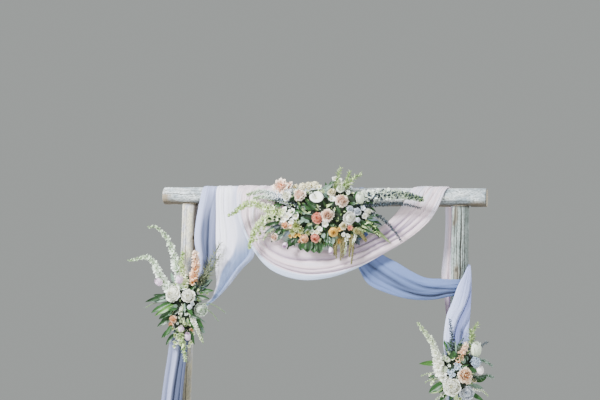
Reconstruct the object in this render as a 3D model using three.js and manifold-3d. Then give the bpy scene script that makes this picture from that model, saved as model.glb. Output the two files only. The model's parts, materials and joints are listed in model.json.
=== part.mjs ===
// A rustic wedding arch: two whitewashed log posts and a log beam, dressed with
// three lengths of chiffon and three sprays of cut flowers.
// Millimetres, +Z up, +X along the beam, the front faces -Y. The origin is the
// middle of the left post's foot.

import * as THREE from 'three';
import { mergeVertices } from 'three/addons/utils/BufferGeometryUtils.js';
import Module from 'manifold-3d';

const wasm = await Module();
wasm.setup();

// Driving dimensions of the log frame
const POST_SPACING = 1710;
const POST_HEIGHT = 2296;
const LEFT_POST_RADIUS = { foot: 52, top: 50 };
const RIGHT_POST_RADIUS = { foot: 52, top: 51.5 };
const BEAM_START = -172;
const BEAM_END = 1868;
const BEAM_RADIUS = { left: 54.5, right: 57.5 };
const BEAM_AXIS_HEIGHT = 2347;
const SEAT_LENGTH = 124;
const LOG_SIDES = 20;
const LOG_UNEVENNESS = 0.5;

// Driving dimensions of the cloth
const CLOTH_THICKNESS = 7;
const WRAP_CLEARANCE = 1.7;

// Where, in degrees round the beam, the blush swag ends and its back tail begins
const SEAM = { swag: 89.3, tail: 91.2 };
const HEM_HEIGHT = 12;

// Clearance between touching pieces
const GAP = 0.3;

// Flower mounds stand in front of this plane, in front of the cloth
const MOUND_BACK = -86;

// The block that ties the left mound to its post
const LEFT_TIE = { low: 1604, high: 1700 };

const WHITEWASH = 0xdcddde;
const LAVENDER = 0xc3cbe4;
const WHITE_CLOTH = 0xecebf2;
const BLUSH = 0xdcccce;
const DUSTY_BLUE = 0x9fadd0;
const FOLIAGE = 0x5d7350;
const SILVER_GREEN = 0xa9b99c;
const WHITE_PETAL = 0xf3f1e8;
const PEACH_PETAL = 0xf0c4a4;
const PINK_PETAL = 0xf0cfc8;
const CORAL_PETAL = 0xe99c86;
const YELLOW_PETAL = 0xe6c16f;
const BLUE_PETAL = 0xd5dceb;
const DARK_SPIKE = 0x56646e;
const AMARANTH = 0xb0a468;

const arch = new THREE.Group();

// A mesh of this name, colour and geometry, added to the arch
function addPiece(name, geometry, color, roughness) {
  const material = new THREE.MeshStandardMaterial({ color, roughness, metalness: 0 });
  const mesh = new THREE.Mesh(geometry, material);
  mesh.name = name;
  arch.add(mesh);
}

// The volume that a closed geometry's triangles enclose, negative when inside out
function signedVolume(geometry) {
  const position = geometry.getAttribute('position');
  const index = geometry.getIndex();
  const [a, b, c] = [new THREE.Vector3(), new THREE.Vector3(), new THREE.Vector3()];
  let volume = 0;
  for (let i = 0; i < index.count; i += 3) {
    a.fromBufferAttribute(position, index.getX(i));
    b.fromBufferAttribute(position, index.getX(i + 1));
    c.fromBufferAttribute(position, index.getX(i + 2));
    volume += a.dot(b.cross(c)) / 6;
  }
  return volume;
}

// A closed geometry with shared vertices and its faces pointing out
function closed(geometry) {
  geometry.deleteAttribute('normal');
  geometry.deleteAttribute('uv');
  const merged = mergeVertices(geometry, 1e-3);
  if (signedVolume(merged) < 0) {
    const index = merged.getIndex();
    for (let i = 0; i < index.count; i += 3) {
      const second = index.getX(i + 1);
      index.setX(i + 1, index.getX(i + 2));
      index.setX(i + 2, second);
    }
  }
  return merged;
}

// Moves every vertex of a geometry to place(vertex)
function reshape(geometry, place) {
  const position = geometry.getAttribute('position');
  const vertex = new THREE.Vector3();
  for (let i = 0; i < position.count; i += 1) {
    vertex.fromBufferAttribute(position, i);
    const moved = place(vertex);
    position.setXYZ(i, moved.x, moved.y, moved.z);
  }
  return closed(geometry);
}

function toSolid(geometry) {
  const vertProperties = new Float32Array(geometry.getAttribute('position').array);
  const triVerts = new Uint32Array(geometry.getIndex().array);
  return new wasm.Manifold(new wasm.Mesh({ numProp: 3, vertProperties, triVerts }));
}

function toGeometry(solid) {
  const { vertProperties, triVerts } = solid.getMesh();
  const geometry = new THREE.BufferGeometry();
  geometry.setAttribute('position', new THREE.BufferAttribute(vertProperties, 3));
  geometry.setIndex(new THREE.BufferAttribute(triVerts, 1));
  return geometry;
}

// Logs: a cylinder whose radius runs from one end to the other and wanders a little
function logGeometry(length, startRadius, endRadius, segments, phase, swell = 0) {
  const cylinder = new THREE.CylinderGeometry(1, 1, 1, LOG_SIDES, segments);
  return reshape(cylinder, (v) => {
    const along = v.y + 0.5;
    const angle = Math.atan2(v.z, v.x);
    const wander = Math.sin(3 * angle + phase + 9 * along) + Math.sin(2 * angle - 14 * along);
    const radius = startRadius + (endRadius - startRadius) * along
      + LOG_UNEVENNESS * wander / 2 + swell;
    const reach = Math.hypot(v.x, v.z);
    return new THREE.Vector3(
      radius * reach * Math.cos(angle), radius * reach * Math.sin(angle), along * length);
  });
}

function boxBetween(low, high) {
  const box = new THREE.BoxGeometry(...high.map((value, i) => value - low[i]));
  box.translate(...high.map((value, i) => (value + low[i]) / 2));
  return closed(box);
}

function postGeometry(x, radius, phase) {
  const log = logGeometry(POST_HEIGHT, radius.foot, radius.top, 8, phase);
  return log.translate(x, 0, 0);
}

// The beam lies along X, with a flat seat cut in its underside over each post
function beamGeometry() {
  const log = logGeometry(BEAM_END - BEAM_START, BEAM_RADIUS.left, BEAM_RADIUS.right, 9, 1.3);
  log.rotateY(Math.PI / 2);
  log.translate(BEAM_START, 0, BEAM_AXIS_HEIGHT);
  let beam = toSolid(log);
  for (const x of [0, POST_SPACING]) {
    beam = beam.subtract(toSolid(boxBetween(
      [x - SEAT_LENGTH / 2, -80, BEAM_AXIS_HEIGHT - 90],
      [x + SEAT_LENGTH / 2, 80, POST_HEIGHT + GAP])));
  }
  return toGeometry(beam);
}

// Cloth: a point on the beam's wrapping, from its front (0) over its top (90) to its back
function onBeam(x, degrees) {
  const angle = THREE.MathUtils.degToRad(degrees);
  const along = (x - BEAM_START) / (BEAM_END - BEAM_START);
  const lift = THREE.MathUtils.lerp(BEAM_RADIUS.left, BEAM_RADIUS.right, along)
    + WRAP_CLEARANCE + CLOTH_THICKNESS / 2;
  return [x, -lift * Math.cos(angle), BEAM_AXIS_HEIGHT + lift * Math.sin(angle)];
}

// Points round the beam every 30 degrees, as the cloth's edge moves from one x to another
function overBeam(fromX, toX, fromDegrees, toDegrees) {
  const count = Math.round(Math.abs(toDegrees - fromDegrees) / 30);
  return Array.from({ length: count + 1 }, (_, i) => onBeam(
    THREE.MathUtils.lerp(fromX, toX, i / count),
    THREE.MathUtils.lerp(fromDegrees, toDegrees, i / count)));
}

// A length of cloth between two edges, each a list of points along it. folds(u, v) moves
// the cloth towards the front, with u along the cloth and v from the first edge to the second.
// swell thickens it on both faces.
function clothGeometry({ first, second, steps, across, folds = () => 0, swell = 0 }) {
  const [edgeA, edgeB] = [first, second].map((points) => (
    new THREE.CatmullRomCurve3(points.map((p) => new THREE.Vector3(...p)))));
  const middle = (u, v) => {
    const point = edgeA.getPoint(u).lerp(edgeB.getPoint(u), v);
    point.y -= folds(u, v);
    return point;
  };
  const step = 1e-3;
  const box = new THREE.BoxGeometry(1, 1, 1, steps, across, 1);
  return reshape(box, (corner) => {
    const [u, v] = [corner.x + 0.5, corner.y + 0.5];
    const along = middle(Math.min(u + step, 1), v).sub(middle(Math.max(u - step, 0), v));
    const over = middle(u, Math.min(v + step, 1)).sub(middle(u, Math.max(v - step, 0)));
    const normal = along.cross(over).normalize();
    return middle(u, v).addScaledVector(normal, corner.z * (CLOTH_THICKNESS + 2 * swell));
  });
}

// Pleats that run along the cloth and die out where it is held
function pleats(count, depth, from, to, phase = 0) {
  return (u, v) => {
    const grow = THREE.MathUtils.smoothstep(u, from, from + 0.15);
    const fade = 1 - THREE.MathUtils.smoothstep(u, to - 0.15, to);
    return depth * grow * fade * Math.sin(2 * Math.PI * count * v + phase);
  };
}

function lavenderFall() {
  return clothGeometry({
    first: [[98, 62, 2060], [103, 60, 2200], ...overBeam(106, 86, 180, 0),
      [72, -63, 2260], [60, -63, 2170],
      [56, -63, 2060], [80, -63, 1950], [92, -64, 1870], [72, -65, 1800]],
    second: [[186, 62, 2040], [176, 60, 2200], ...overBeam(172, 178, 180, 0),
      [184, -63, 2260], [188, -63, 2170],
      [190, -63, 2060], [192, -63, 1950], [178, -64, 1870], [132, -65, 1800]],
    steps: 24,
    across: 5,
    folds: pleats(1.5, 5, 0.58, 1),
  });
}

function whiteCurtain() {
  return clothGeometry({
    first: [[192, 62, 1980], [186, 60, 2160], ...overBeam(181, 186, 180, 0), [192, -66, 2250],
      [198, -68, 2080], [207, -70, 1985], [205, -70, 1880], [209, -70, 1790],
      [180, -70, 1699], [112, -70, 1652]],
    second: [[318, 62, 2010], [312, 60, 2170], ...overBeam(312, 314, 180, 0), [330, -66, 2250],
      [438, -66, 2070], [446, -68, 1968], [372, -70, 1885], [292, -70, 1782],
      [205, -70, 1690], [118, -70, 1632]],
    steps: 28,
    across: 8,
    folds: pleats(2, 7, 0.5, 0.95),
  });
}

function leftPostDrape() {
  return clothGeometry({
    first: [[-20, -72, LEFT_TIE.low - GAP], [-70, -72, 1450], [-84, -72, 1340], [-110, -72, 1100],
      [-128, -71, 800], [-150, -70, 400], [-180, -69, HEM_HEIGHT]],
    second: [[38, -72, LEFT_TIE.low - GAP], [46, -72, 1450], [40, -72, 1340], [22, -72, 1100],
      [20, -73, 800], [30, -74, 400], [44, -75, HEM_HEIGHT]],
    steps: 12,
    across: 8,
    folds: pleats(2, 8, 0, 1.15, 0.6),
  });
}

function blushSwag() {
  return clothGeometry({
    first: [[560, 62, 2150], [600, 60, 2240], ...overBeam(620, 582, 180, 0), [552, -70, 2230],
      [575, -70, 2110], [673, -66, 2046], [800, -62, 2018], [930, -62, 2012],
      [1060, -64, 2050], [1180, -66, 2120], [1290, -68, 2200], [1350, -68, 2272],
      ...overBeam(1392, 1440, 0, SEAM.swag)],
    second: [[338, 62, 2080], [332, 60, 2220], ...overBeam(330, 325, 180, 0), [345, -84, 2210],
      [440, -88, 2010], [560, -88, 1885], [740, -84, 1826], [920, -80, 1840],
      [1100, -76, 1905], [1260, -76, 1995], [1420, -76, 2095], [1545, -72, 2215],
      ...overBeam(1608, 1640, 0, SEAM.swag)],
    steps: 44,
    across: 9,
    folds: pleats(2.5, 7, 0.34, 0.88),
  });
}

function blushTail() {
  return clothGeometry({
    first: [...overBeam(1440, 1580, SEAM.tail, 180), [1588, 68, 2260], [1597, 74, 2100],
      [1592, 76, 1860], [1612, 75, 1740], [1628, 74, 1600], [1645, 73, 1450]],
    second: [...overBeam(1640, 1690, SEAM.tail, 180), [1696, 66, 2260], [1700, 68, 2100],
      [1700, 68, 1860], [1700, 68, 1740], [1696, 68, 1600], [1690, 68, 1420]],
    steps: 16,
    across: 5,
    folds: pleats(1.5, 4, 0.4, 1.15),
  });
}

function blueSwag() {
  return clothGeometry({
    first: [...overBeam(1110, 1120, 60, 180), [1122, 58, 2250], [1140, 30, 2130], [1185, 0, 2035],
      [1251, -16, 1987], [1335, -30, 1945], [1425, -42, 1893], [1515, -52, 1855],
      [1607, -58, 1850], [1690, -60, 1848], [1746, -50, 1850]],
    second: [...overBeam(950, 960, 60, 180), [975, 58, 2250], [1010, 34, 2120], [1060, 6, 1990],
      [1105, -12, 1888], [1160, -26, 1812], [1280, -40, 1758], [1430, -52, 1723],
      [1560, -60, 1724], [1650, -62, 1742], [1738, -55, 1765]],
    steps: 28,
    across: 8,
    folds: pleats(2, 8, 0.36, 0.86),
  });
}

function rightPostDrape(swell = 0) {
  return clothGeometry({
    swell,
    first: [[1763, -13, 1942], [1744, -56, 1880], [1712, -74, 1812], [1676, -77, 1705],
      [1650, -76, 1640], [1637, -74, 1560], [1632, -72, 1450], [1650, -72, 1300],
      [1655, -72, 1150], [1650, -72, 800], [1645, -72, 400], [1640, -74, HEM_HEIGHT]],
    second: [[1776, -10, 1938], [1784, -44, 1892], [1790, -66, 1812], [1790, -72, 1705],
      [1787, -73, 1640], [1782, -72, 1560], [1786, -72, 1450], [1775, -72, 1300],
      [1785, -72, 1150], [1815, -71, 800], [1845, -69, 400], [1875, -67, HEM_HEIGHT]],
    steps: 20,
    across: 7,
    folds: pleats(1.5, 6, 0.1, 1.15, 2.4),
  });
}

// Flowers: a mound of foliage with a flat back, rounded like a superellipsoid
function moundGeometry({ centre, half, roundness, ripple }, swell = 0) {
  const sphere = new THREE.SphereGeometry(1, 24, 11);
  return reshape(sphere, (v) => {
    const spread = ['x', 'y', 'z'].reduce((sum, axis) => (
      sum + Math.abs(v[axis]) ** roundness), 0) ** (-1 / roundness);
    const angle = Math.atan2(v.z, v.x);
    const leafy = 1 + ripple * Math.sin(7 * angle) * Math.sin(3 * v.y + 1);
    const [x, y, z] = [v.x, v.y, v.z].map((value, i) => (
      value * spread * leafy * (half[i] + swell)));
    return new THREE.Vector3(
      centre[0] + x, MOUND_BACK + Math.min(y, swell), centre[1] + z);
  });
}

// How far in front of the mound's back its surface stands at this place
function moundFront({ centre, half, roundness }, x, z) {
  const filled = Math.abs((x - centre[0]) / half[0]) ** roundness
    + Math.abs((z - centre[1]) / half[2]) ** roundness;
  return half[1] * Math.max(0, 1 - filled) ** (1 / roundness);
}

// A bloom is a sphere stretched to its own shape, with petals as ripples round its edge
function bloomGeometry(position, [rx, ry, rz], ruffle, tilt, swell = 0) {
  const sphere = new THREE.SphereGeometry(1, 12, 7);
  const turn = new THREE.Euler(0, THREE.MathUtils.degToRad(tilt), 0);
  return reshape(sphere, (v) => {
    const angle = Math.atan2(v.z, v.x);
    const petal = 1 + ruffle * Math.sin(6 * angle) * (1 - v.y * v.y);
    const place = new THREE.Vector3(
      v.x * (rx + swell), v.y * (ry + swell), v.z * (rz + swell));
    return place.multiplyScalar(petal).applyEuler(turn).add(new THREE.Vector3(...position));
  });
}

// A spray is a tapering bar of florets along a curve, its root first
function sprayGeometry(points, thick, swell = 0) {
  const curve = new THREE.CatmullRomCurve3(points.map((p) => new THREE.Vector3(...p)));
  const bar = new THREE.CylinderGeometry(1, 1, 1, 7, 9);
  return reshape(bar, (v) => {
    const along = v.y + 0.5;
    const centre = curve.getPoint(along);
    const tangent = curve.getTangent(along);
    const side = new THREE.Vector3(0, 1, 0).cross(tangent).normalize();
    const up = tangent.clone().cross(side);
    const taper = 0.55 + 0.45 * Math.sin(Math.PI * Math.min(along * 1.25, 1)) - 0.35 * along;
    const radius = thick * taper + swell;
    return centre.addScaledVector(side, v.x * radius).addScaledVector(up, v.z * radius);
  });
}

// Builds one arrangement: the mound is tied on by a block behind it, which is cut to lie
// against its carrier, and each bloom and spray is cut to sit on the mound and against
// the ones made before it.
function addArrangement(prefix, mound, tie, carrier, pieces) {
  let base = toSolid(moundGeometry(mound)).add(toSolid(boxBetween(tie[0], tie[1])));
  base = base.subtract(toSolid(carrier));
  addPiece(`${prefix}_foliage`, toGeometry(base), FOLIAGE, 0.8);
  const taken = [toSolid(moundGeometry(mound, GAP))];
  for (const { name, color, shape } of pieces) {
    let solid = toSolid(shape(0));
    for (const other of taken) {
      solid = solid.subtract(other);
    }
    addPiece(`${prefix}_${name}`, toGeometry(solid), color, 0.7);
    taken.push(toSolid(shape(GAP)));
  }
}

// A bloom on a mound at this place, sunk into it but clear of the cloth behind
function bloom(name, color, mound, [x, z], size, ruffle = 0.05, tilt = 0) {
  const seated = moundFront(mound, x, z) + size[1] * 0.3;
  const y = MOUND_BACK - Math.max(seated, size[1] * 0.95);
  return { name, color, shape: (swell) => bloomGeometry([x, y, z], size, ruffle, tilt, swell) };
}

function spray(name, color, points, thick) {
  return { name, color, shape: (swell) => sprayGeometry(points, thick, swell) };
}

function addCentreArrangement() {
  const mound = { centre: [890, 2215], half: [305, 105, 190], roundness: 2.6, ripple: 0.05 };
  const log = logGeometry(
    BEAM_END - BEAM_START, BEAM_RADIUS.left, BEAM_RADIUS.right, 9, 1.3, GAP);
  log.rotateY(Math.PI / 2).translate(BEAM_START, 0, BEAM_AXIS_HEIGHT);
  const tie = [[690, -90, 2310], [1090, -40, 2380]];
  addArrangement('centre', mound, tie, log, [
    bloom('pink_carnation', PINK_PETAL, mound, [630, 2375], [58, 50, 56], 0.08),
    bloom('cream_hydrangea', WHITE_PETAL, mound, [800, 2385], [62, 48, 42], 0.08),
    bloom('white_calla', WHITE_PETAL, mound, [838, 2300], [44, 40, 42], 0.02, -30),
    bloom('peach_carnation', PINK_PETAL, mound, [985, 2300], [50, 46, 50], 0.08),
    bloom('white_tulip', WHITE_PETAL, mound, [1100, 2320], [34, 34, 46], 0.02, 20),
    bloom('coral_rose', CORAL_PETAL, mound, [880, 2195], [62, 44, 46], 0.06),
    bloom('orange_rose', PEACH_PETAL, mound, [660, 2155], [42, 38, 38], 0.06),
    bloom('yellow_ranunculus', YELLOW_PETAL, mound, [950, 2112], [36, 32, 34], 0.06),
    bloom('white_stock', WHITE_PETAL, mound, [1045, 2205], [48, 40, 46], 0.08),
    spray('left_snapdragon', SILVER_GREEN, [[640, -150, 2235], [560, -165, 2262],
      [430, -175, 2290], [300, -180, 2205]], 26),
    spray('left_low_snapdragon', SILVER_GREEN, [[640, -140, 2190], [580, -150, 2180],
      [500, -150, 2120], [435, -150, 2010]], 26),
    spray('left_blue_spray', DARK_SPIKE, [[640, -135, 2325], [560, -140, 2355],
      [480, -142, 2362], [405, -140, 2340]], 20),
    spray('right_snapdragon', SILVER_GREEN, [[1130, -140, 2330], [1230, -160, 2345],
      [1370, -165, 2345], [1500, -165, 2318]], 30),
    spray('right_dark_spike', DARK_SPIKE, [[1130, -130, 2235], [1230, -150, 2215],
      [1320, -155, 2140], [1376, -155, 2065]], 18),
    spray('top_sprig', SILVER_GREEN, [[950, -130, 2370], [980, -135, 2430],
      [1020, -140, 2475], [1085, -140, 2497]], 24),
    spray('amaranth_drip', AMARANTH, [[1030, -150, 2110], [1035, -160, 2050],
      [1030, -160, 2000], [1028, -155, 1945]], 30),
  ]);
}

function addLeftArrangement() {
  const mound = { centre: [18, 1635], half: [104, 92, 160], roundness: 2.3, ripple: 0.05 };
  const log = logGeometry(
    POST_HEIGHT, LEFT_POST_RADIUS.foot, LEFT_POST_RADIUS.top, 8, 0.4, GAP);
  const tie = [[-40, -90, LEFT_TIE.low], [40, -30, LEFT_TIE.high]];
  addArrangement('left', mound, tie, log, [
    bloom('white_rose_outer', WHITE_PETAL, mound, [-44, 1722], [46, 42, 45]),
    bloom('white_rose_upper', WHITE_PETAL, mound, [52, 1708], [44, 40, 43]),
    bloom('white_rose_lower', WHITE_PETAL, mound, [128, 1632], [43, 40, 41]),
    spray('arching_white_spike', SILVER_GREEN, [[-8, -125, 1745], [-50, -155, 1925],
      [-105, -165, 2080], [-228, -165, 2135]], 28),
    spray('low_white_spike', SILVER_GREEN, [[-60, -140, 1740], [-150, -150, 1840],
      [-215, -155, 1950], [-350, -155, 1920]], 28),
    spray('peach_stock', PEACH_PETAL, [[60, -130, 1770], [72, -145, 1830],
      [80, -150, 1910], [86, -150, 1985]], 34),
    spray('rosemary_twig', FOLIAGE, [[80, -110, 1700], [135, -128, 1850],
      [190, -135, 1960], [246, -135, 2045]], 16),
    spray('hanging_snapdragon', WHITE_PETAL, [[70, -150, 1585], [85, -165, 1530],
      [110, -165, 1480], [140, -160, 1430]], 28),
    spray('green_tail', SILVER_GREEN, [[20, -140, 1520], [25, -150, 1450],
      [40, -150, 1380], [55, -150, 1315]], 22),
  ]);
}

function addRightArrangement() {
  const mound = { centre: [1722, 1300], half: [102, 92, 160], roundness: 2.3, ripple: 0.05 };
  const tie = [[1660, -90, 1260], [1770, -78, 1340]];
  addArrangement('right', mound, tie, rightPostDrape(GAP), [
    bloom('white_rose', WHITE_PETAL, mound, [1690, 1210], [50, 44, 48]),
    bloom('peach_carnation', PINK_PETAL, mound, [1772, 1290], [46, 42, 46], 0.08),
    bloom('white_tulip', WHITE_PETAL, mound, [1818, 1425], [26, 26, 38], 0.02, 10),
    bloom('blue_hydrangea', BLUE_PETAL, mound, [1790, 1190], [40, 36, 40], 0.08),
    spray('white_stock', WHITE_PETAL, [[1660, -140, 1250], [1612, -155, 1330],
      [1575, -160, 1450], [1486, -160, 1590]], 32),
    spray('peach_stock', PEACH_PETAL, [[1725, -140, 1350], [1730, -160, 1390],
      [1745, -160, 1430], [1768, -155, 1475]], 30),
    spray('side_sprig', SILVER_GREEN, [[1790, -130, 1330], [1840, -140, 1350],
      [1890, -145, 1340], [1930, -145, 1295]], 18),
  ]);
}

addPiece('left_post', postGeometry(0, LEFT_POST_RADIUS, 0.4), WHITEWASH, 0.85);
addPiece('right_post', postGeometry(POST_SPACING, RIGHT_POST_RADIUS, 2.1), WHITEWASH, 0.85);
addPiece('top_beam', beamGeometry(), WHITEWASH, 0.85);

addPiece('lavender_beam_fall', lavenderFall(), LAVENDER, 0.9);
addPiece('white_tied_curtain', whiteCurtain(), WHITE_CLOTH, 0.9);
addPiece('left_post_drape', leftPostDrape(), LAVENDER, 0.9);
addPiece('blush_swag', blushSwag(), BLUSH, 0.9);
addPiece('blush_back_tail', blushTail(), BLUSH, 0.9);
addPiece('blue_swag', blueSwag(), DUSTY_BLUE, 0.9);
addPiece('right_post_drape', rightPostDrape(), WHITE_CLOTH, 0.9);

addCentreArrangement();
addLeftArrangement();
addRightArrangement();

export default arch;
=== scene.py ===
"""A rustic wedding arch: two limewashed log posts and a log beam, dressed with gathered
chiffon and three arrangements of flowers. Metres, +Z up, +X along the beam, the front
faces -Y, and the origin is the middle of the left post's foot. Lists of places are in
millimetres, as in the CAD source, and mm() turns them to metres."""

import json
import math
from functools import partial

import bmesh
import bpy
import numpy as np
from mathutils import Matrix, Vector

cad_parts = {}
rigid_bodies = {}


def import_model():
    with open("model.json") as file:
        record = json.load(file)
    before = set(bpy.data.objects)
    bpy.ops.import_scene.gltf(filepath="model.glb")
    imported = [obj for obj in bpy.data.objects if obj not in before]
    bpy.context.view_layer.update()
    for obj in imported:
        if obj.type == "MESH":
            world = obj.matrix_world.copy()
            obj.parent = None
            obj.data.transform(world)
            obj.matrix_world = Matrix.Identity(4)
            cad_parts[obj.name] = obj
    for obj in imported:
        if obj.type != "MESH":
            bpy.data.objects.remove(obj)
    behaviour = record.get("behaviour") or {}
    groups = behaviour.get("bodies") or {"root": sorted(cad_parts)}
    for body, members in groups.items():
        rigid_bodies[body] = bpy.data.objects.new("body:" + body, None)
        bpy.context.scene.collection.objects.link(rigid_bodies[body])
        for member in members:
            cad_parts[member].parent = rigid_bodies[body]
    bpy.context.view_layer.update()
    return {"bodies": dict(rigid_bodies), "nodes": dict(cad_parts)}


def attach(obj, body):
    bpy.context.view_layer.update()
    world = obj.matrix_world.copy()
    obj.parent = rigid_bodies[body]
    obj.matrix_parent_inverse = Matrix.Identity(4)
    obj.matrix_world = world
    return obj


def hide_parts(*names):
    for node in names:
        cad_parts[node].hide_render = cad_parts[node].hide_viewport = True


bl_info = {
    "name": "Wedding arch",
    "version": (1, 0, 0),
    "blender": (4, 5, 0),
    "location": "3D View > Sidebar > Arch",
    "description": "Makes a log wedding arch with chiffon drapes and flowers",
    "category": "Add Mesh",
}

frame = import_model()
BODY = next(iter(frame["bodies"]))
GOLDEN_ANGLE = math.pi * (3 - math.sqrt(5))
# Where node() looks for a kind of node, in this order
FAMILIES = ("GeometryNode", "FunctionNode", "ShaderNode", "")

# Driving dimensions of the log frame
POST_SPACING = 1710
POST_HEIGHT = 2296
LEFT_POST_RADII = (52, 50)
RIGHT_POST_RADII = (52, 51.5)
BEAM_START = -172
BEAM_END = 1868
BEAM_RADII = (54.5, 57.5)
BEAM_AXIS_HEIGHT = 2347
SEAT_HEIGHT = 2296.3
SEAT_HALF = 62

# Driving dimensions of the cloth: how far its middle is off the beam, the degrees where the
# blush swag ends and its tail starts, and the height of the hems
WRAP_LIFT = 5.2
SEAM = (89.3, 91.2)
HEM_HEIGHT = 12

# Flower mounds stand in front of this plane
MOUND_BACK = -86
CENTRE_MOUND = {"centre": (890, 2215), "half": (305, 105, 190), "roundness": 2.6,
                "cloth_below": (2040, 2130), "cloth_left_of": (560, 640), "cloth_depth": 32}
LEFT_MOUND = {"centre": (18, 1635), "half": (104, 92, 160), "roundness": 2.3,
              "cloth_below": (1500, 1580), "cloth_depth": 22}
RIGHT_MOUND = {"centre": (1722, 1300), "half": (102, 92, 160), "roundness": 2.3,
               "cloth_below": (1140, 1220), "cloth_depth": 16}
# The dark mossy core, which also paints shade between the leaves, and the roots of the leaves lie at these
# shares of a mound's size
CORE_SHARE = 0.86
LEAVES_SHARE = 0.88
# Leaves are rooted and stay in front of these planes
LEAF_ROOTS = -93.5
LEAF_LIMIT = -92
# A chosen leaf is rooted at least this far in front of the mound's back or the cloth there
LEAST_DEPTH = 16
STEM_RADIUS = 1.9
STALK_RADIUS = 1.7

# The stage in metres. The photo's camera looks these degrees to the left and upwards, and
# leans to the right by the last. Its sensor is in millimetres.
CAMERA_PLACE = (2.679, -8.532, 1.369)
CAMERA_ANGLES = (13.0, 6.243, 1.823)
SENSOR_WIDTH = 36
FLOOR_MIDDLE = 0.86
FLOOR_RADIUS = 14
LIGHT_AIM = (FLOOR_MIDDLE, 0, 1.6)


def mm(value):
    """Millimetres as metres, for a number or an array."""
    return np.asarray(value, float) * 0.001


def linear(code):
    """An sRGB hex colour as linear red, green, blue."""
    values = [int(code[i:i + 2], 16) / 255 for i in (1, 3, 5)]
    return tuple(c / 12.92 if c <= 0.04045 else ((c + 0.055) / 1.055) ** 2.4 for c in values)


def node(tree, kind, inputs=(), stops=(), **settings):
    """Adds a node of the first family that has this kind, with these settings. Its inputs are
    filled from values, sockets or other nodes, and a ramp gets its (position, colour) stops."""
    new = tree.nodes.new(next(f for f in FAMILIES if hasattr(bpy.types, f + kind)) + kind)
    for key, value in settings.items():
        setattr(new, key, value)
    for key, value in dict(inputs).items():
        if isinstance(value, bpy.types.Node):
            value = next(socket for socket in value.outputs if socket.enabled)
        if isinstance(value, bpy.types.NodeSocket):
            tree.links.new(value, new.inputs[key])
        else:
            new.inputs[key].default_value = value
    if stops:
        elements = new.color_ramp.elements
        while len(elements) < len(stops):
            elements.new(0.5)
        for element, (position, colour) in zip(elements, stops):
            element.position = position
            element.color = (*colour, 1)
    return new


def new_material(name):
    """A material with an empty node tree, and the function that adds nodes to that tree."""
    material = bpy.data.materials.new(name)
    material.use_nodes = True
    material.node_tree.nodes.clear()
    return material, partial(node, material.node_tree)


def greys(*stops):
    """A ramp's stops from (position, grey level) pairs."""
    return [(position, (level, level, level)) for position, level in stops]


def smooth_noise(x, y, seed, period=64):
    """Smooth noise from -1 to 1, one cell a unit wide, which repeats after period cells of x."""
    table = np.random.default_rng(seed).uniform(-1, 1, (period, 64))
    xi, yi = np.floor(x).astype(int), np.floor(y).astype(int)
    fx, fy = x - xi, y - yi
    fx, fy = fx * fx * (3 - 2 * fx), fy * fy * (3 - 2 * fy)
    a, b, c, d = xi % period, (xi + 1) % period, yi % 64, (yi + 1) % 64
    low = table[a, c] * (1 - fx) + table[b, c] * fx
    high = table[a, d] * (1 - fx) + table[b, d] * fx
    return low * (1 - fy) + high * fy


def smoothstep(x, low, high):
    t = np.clip((np.asarray(x, float) - low) / (high - low), 0, 1)
    return t * t * (3 - 2 * t)


def spline(points, u):
    """Places on a smooth curve through a list of points, at each u from 0 to 1."""
    points = np.asarray(points, float)
    padded = np.vstack([2 * points[0] - points[1], points, 2 * points[-1] - points[-2]])
    gaps = np.sqrt(np.linalg.norm(np.diff(padded, axis=0), axis=1)) + 1e-9
    place = np.clip(u, 0, 1) * (len(points) - 1)
    i = np.minimum(place.astype(int), len(points) - 2)
    t = (place - i)[:, None]
    p0, p1, p2, p3 = (padded[i + k] for k in range(4))
    d0, d1, d2 = (gaps[i + k][:, None] for k in range(3))
    start = ((p1 - p0) / d0 - (p2 - p0) / (d0 + d1) + (p2 - p1) / d1) * d1
    end = ((p2 - p1) / d1 - (p3 - p1) / (d1 + d2) + (p3 - p2) / d2) * d1
    return ((2 * t**3 - 3 * t**2 + 1) * p1 + (t**3 - 2 * t**2 + t) * start
            + (3 * t**2 - 2 * t**3) * p2 + (t**3 - t**2) * end)


def unit(vectors):
    """Vectors along the last axis at length 1."""
    return vectors / (np.linalg.norm(vectors, axis=-1, keepdims=True) + 1e-12)


def grid_faces(rows, columns, first=0):
    """The quads of a grid of points, row by row."""
    i = np.arange(rows - 1)[:, None] * columns + np.arange(columns - 1)[None, :] + first
    return np.stack([i, i + 1, i + columns + 1, i + columns], -1).reshape(-1, 4).tolist()


def capped_tube_faces(rows, sides):
    """Faces of a tube of closed rings, after a first point and before a last one at its ends."""
    ring = np.arange(sides)
    following = (ring + 1) % sides
    start = np.arange(rows - 1)[:, None] * sides + 1
    i, j = start + ring, start + following
    quads = np.stack([i, j, j + sides, i + sides], -1).reshape(-1, 4).tolist()
    last = rows * sides + 1
    fans = [[0, int(b) + 1, int(a) + 1] for a, b in zip(ring, following)]
    ends = [[last, int(a) + last - sides, int(b) + last - sides] for a, b in zip(ring, following)]
    return quads + fans + ends


def linked_object(name, data):
    made = bpy.data.objects.new(name, data)
    bpy.context.scene.collection.objects.link(made)
    return made


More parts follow.
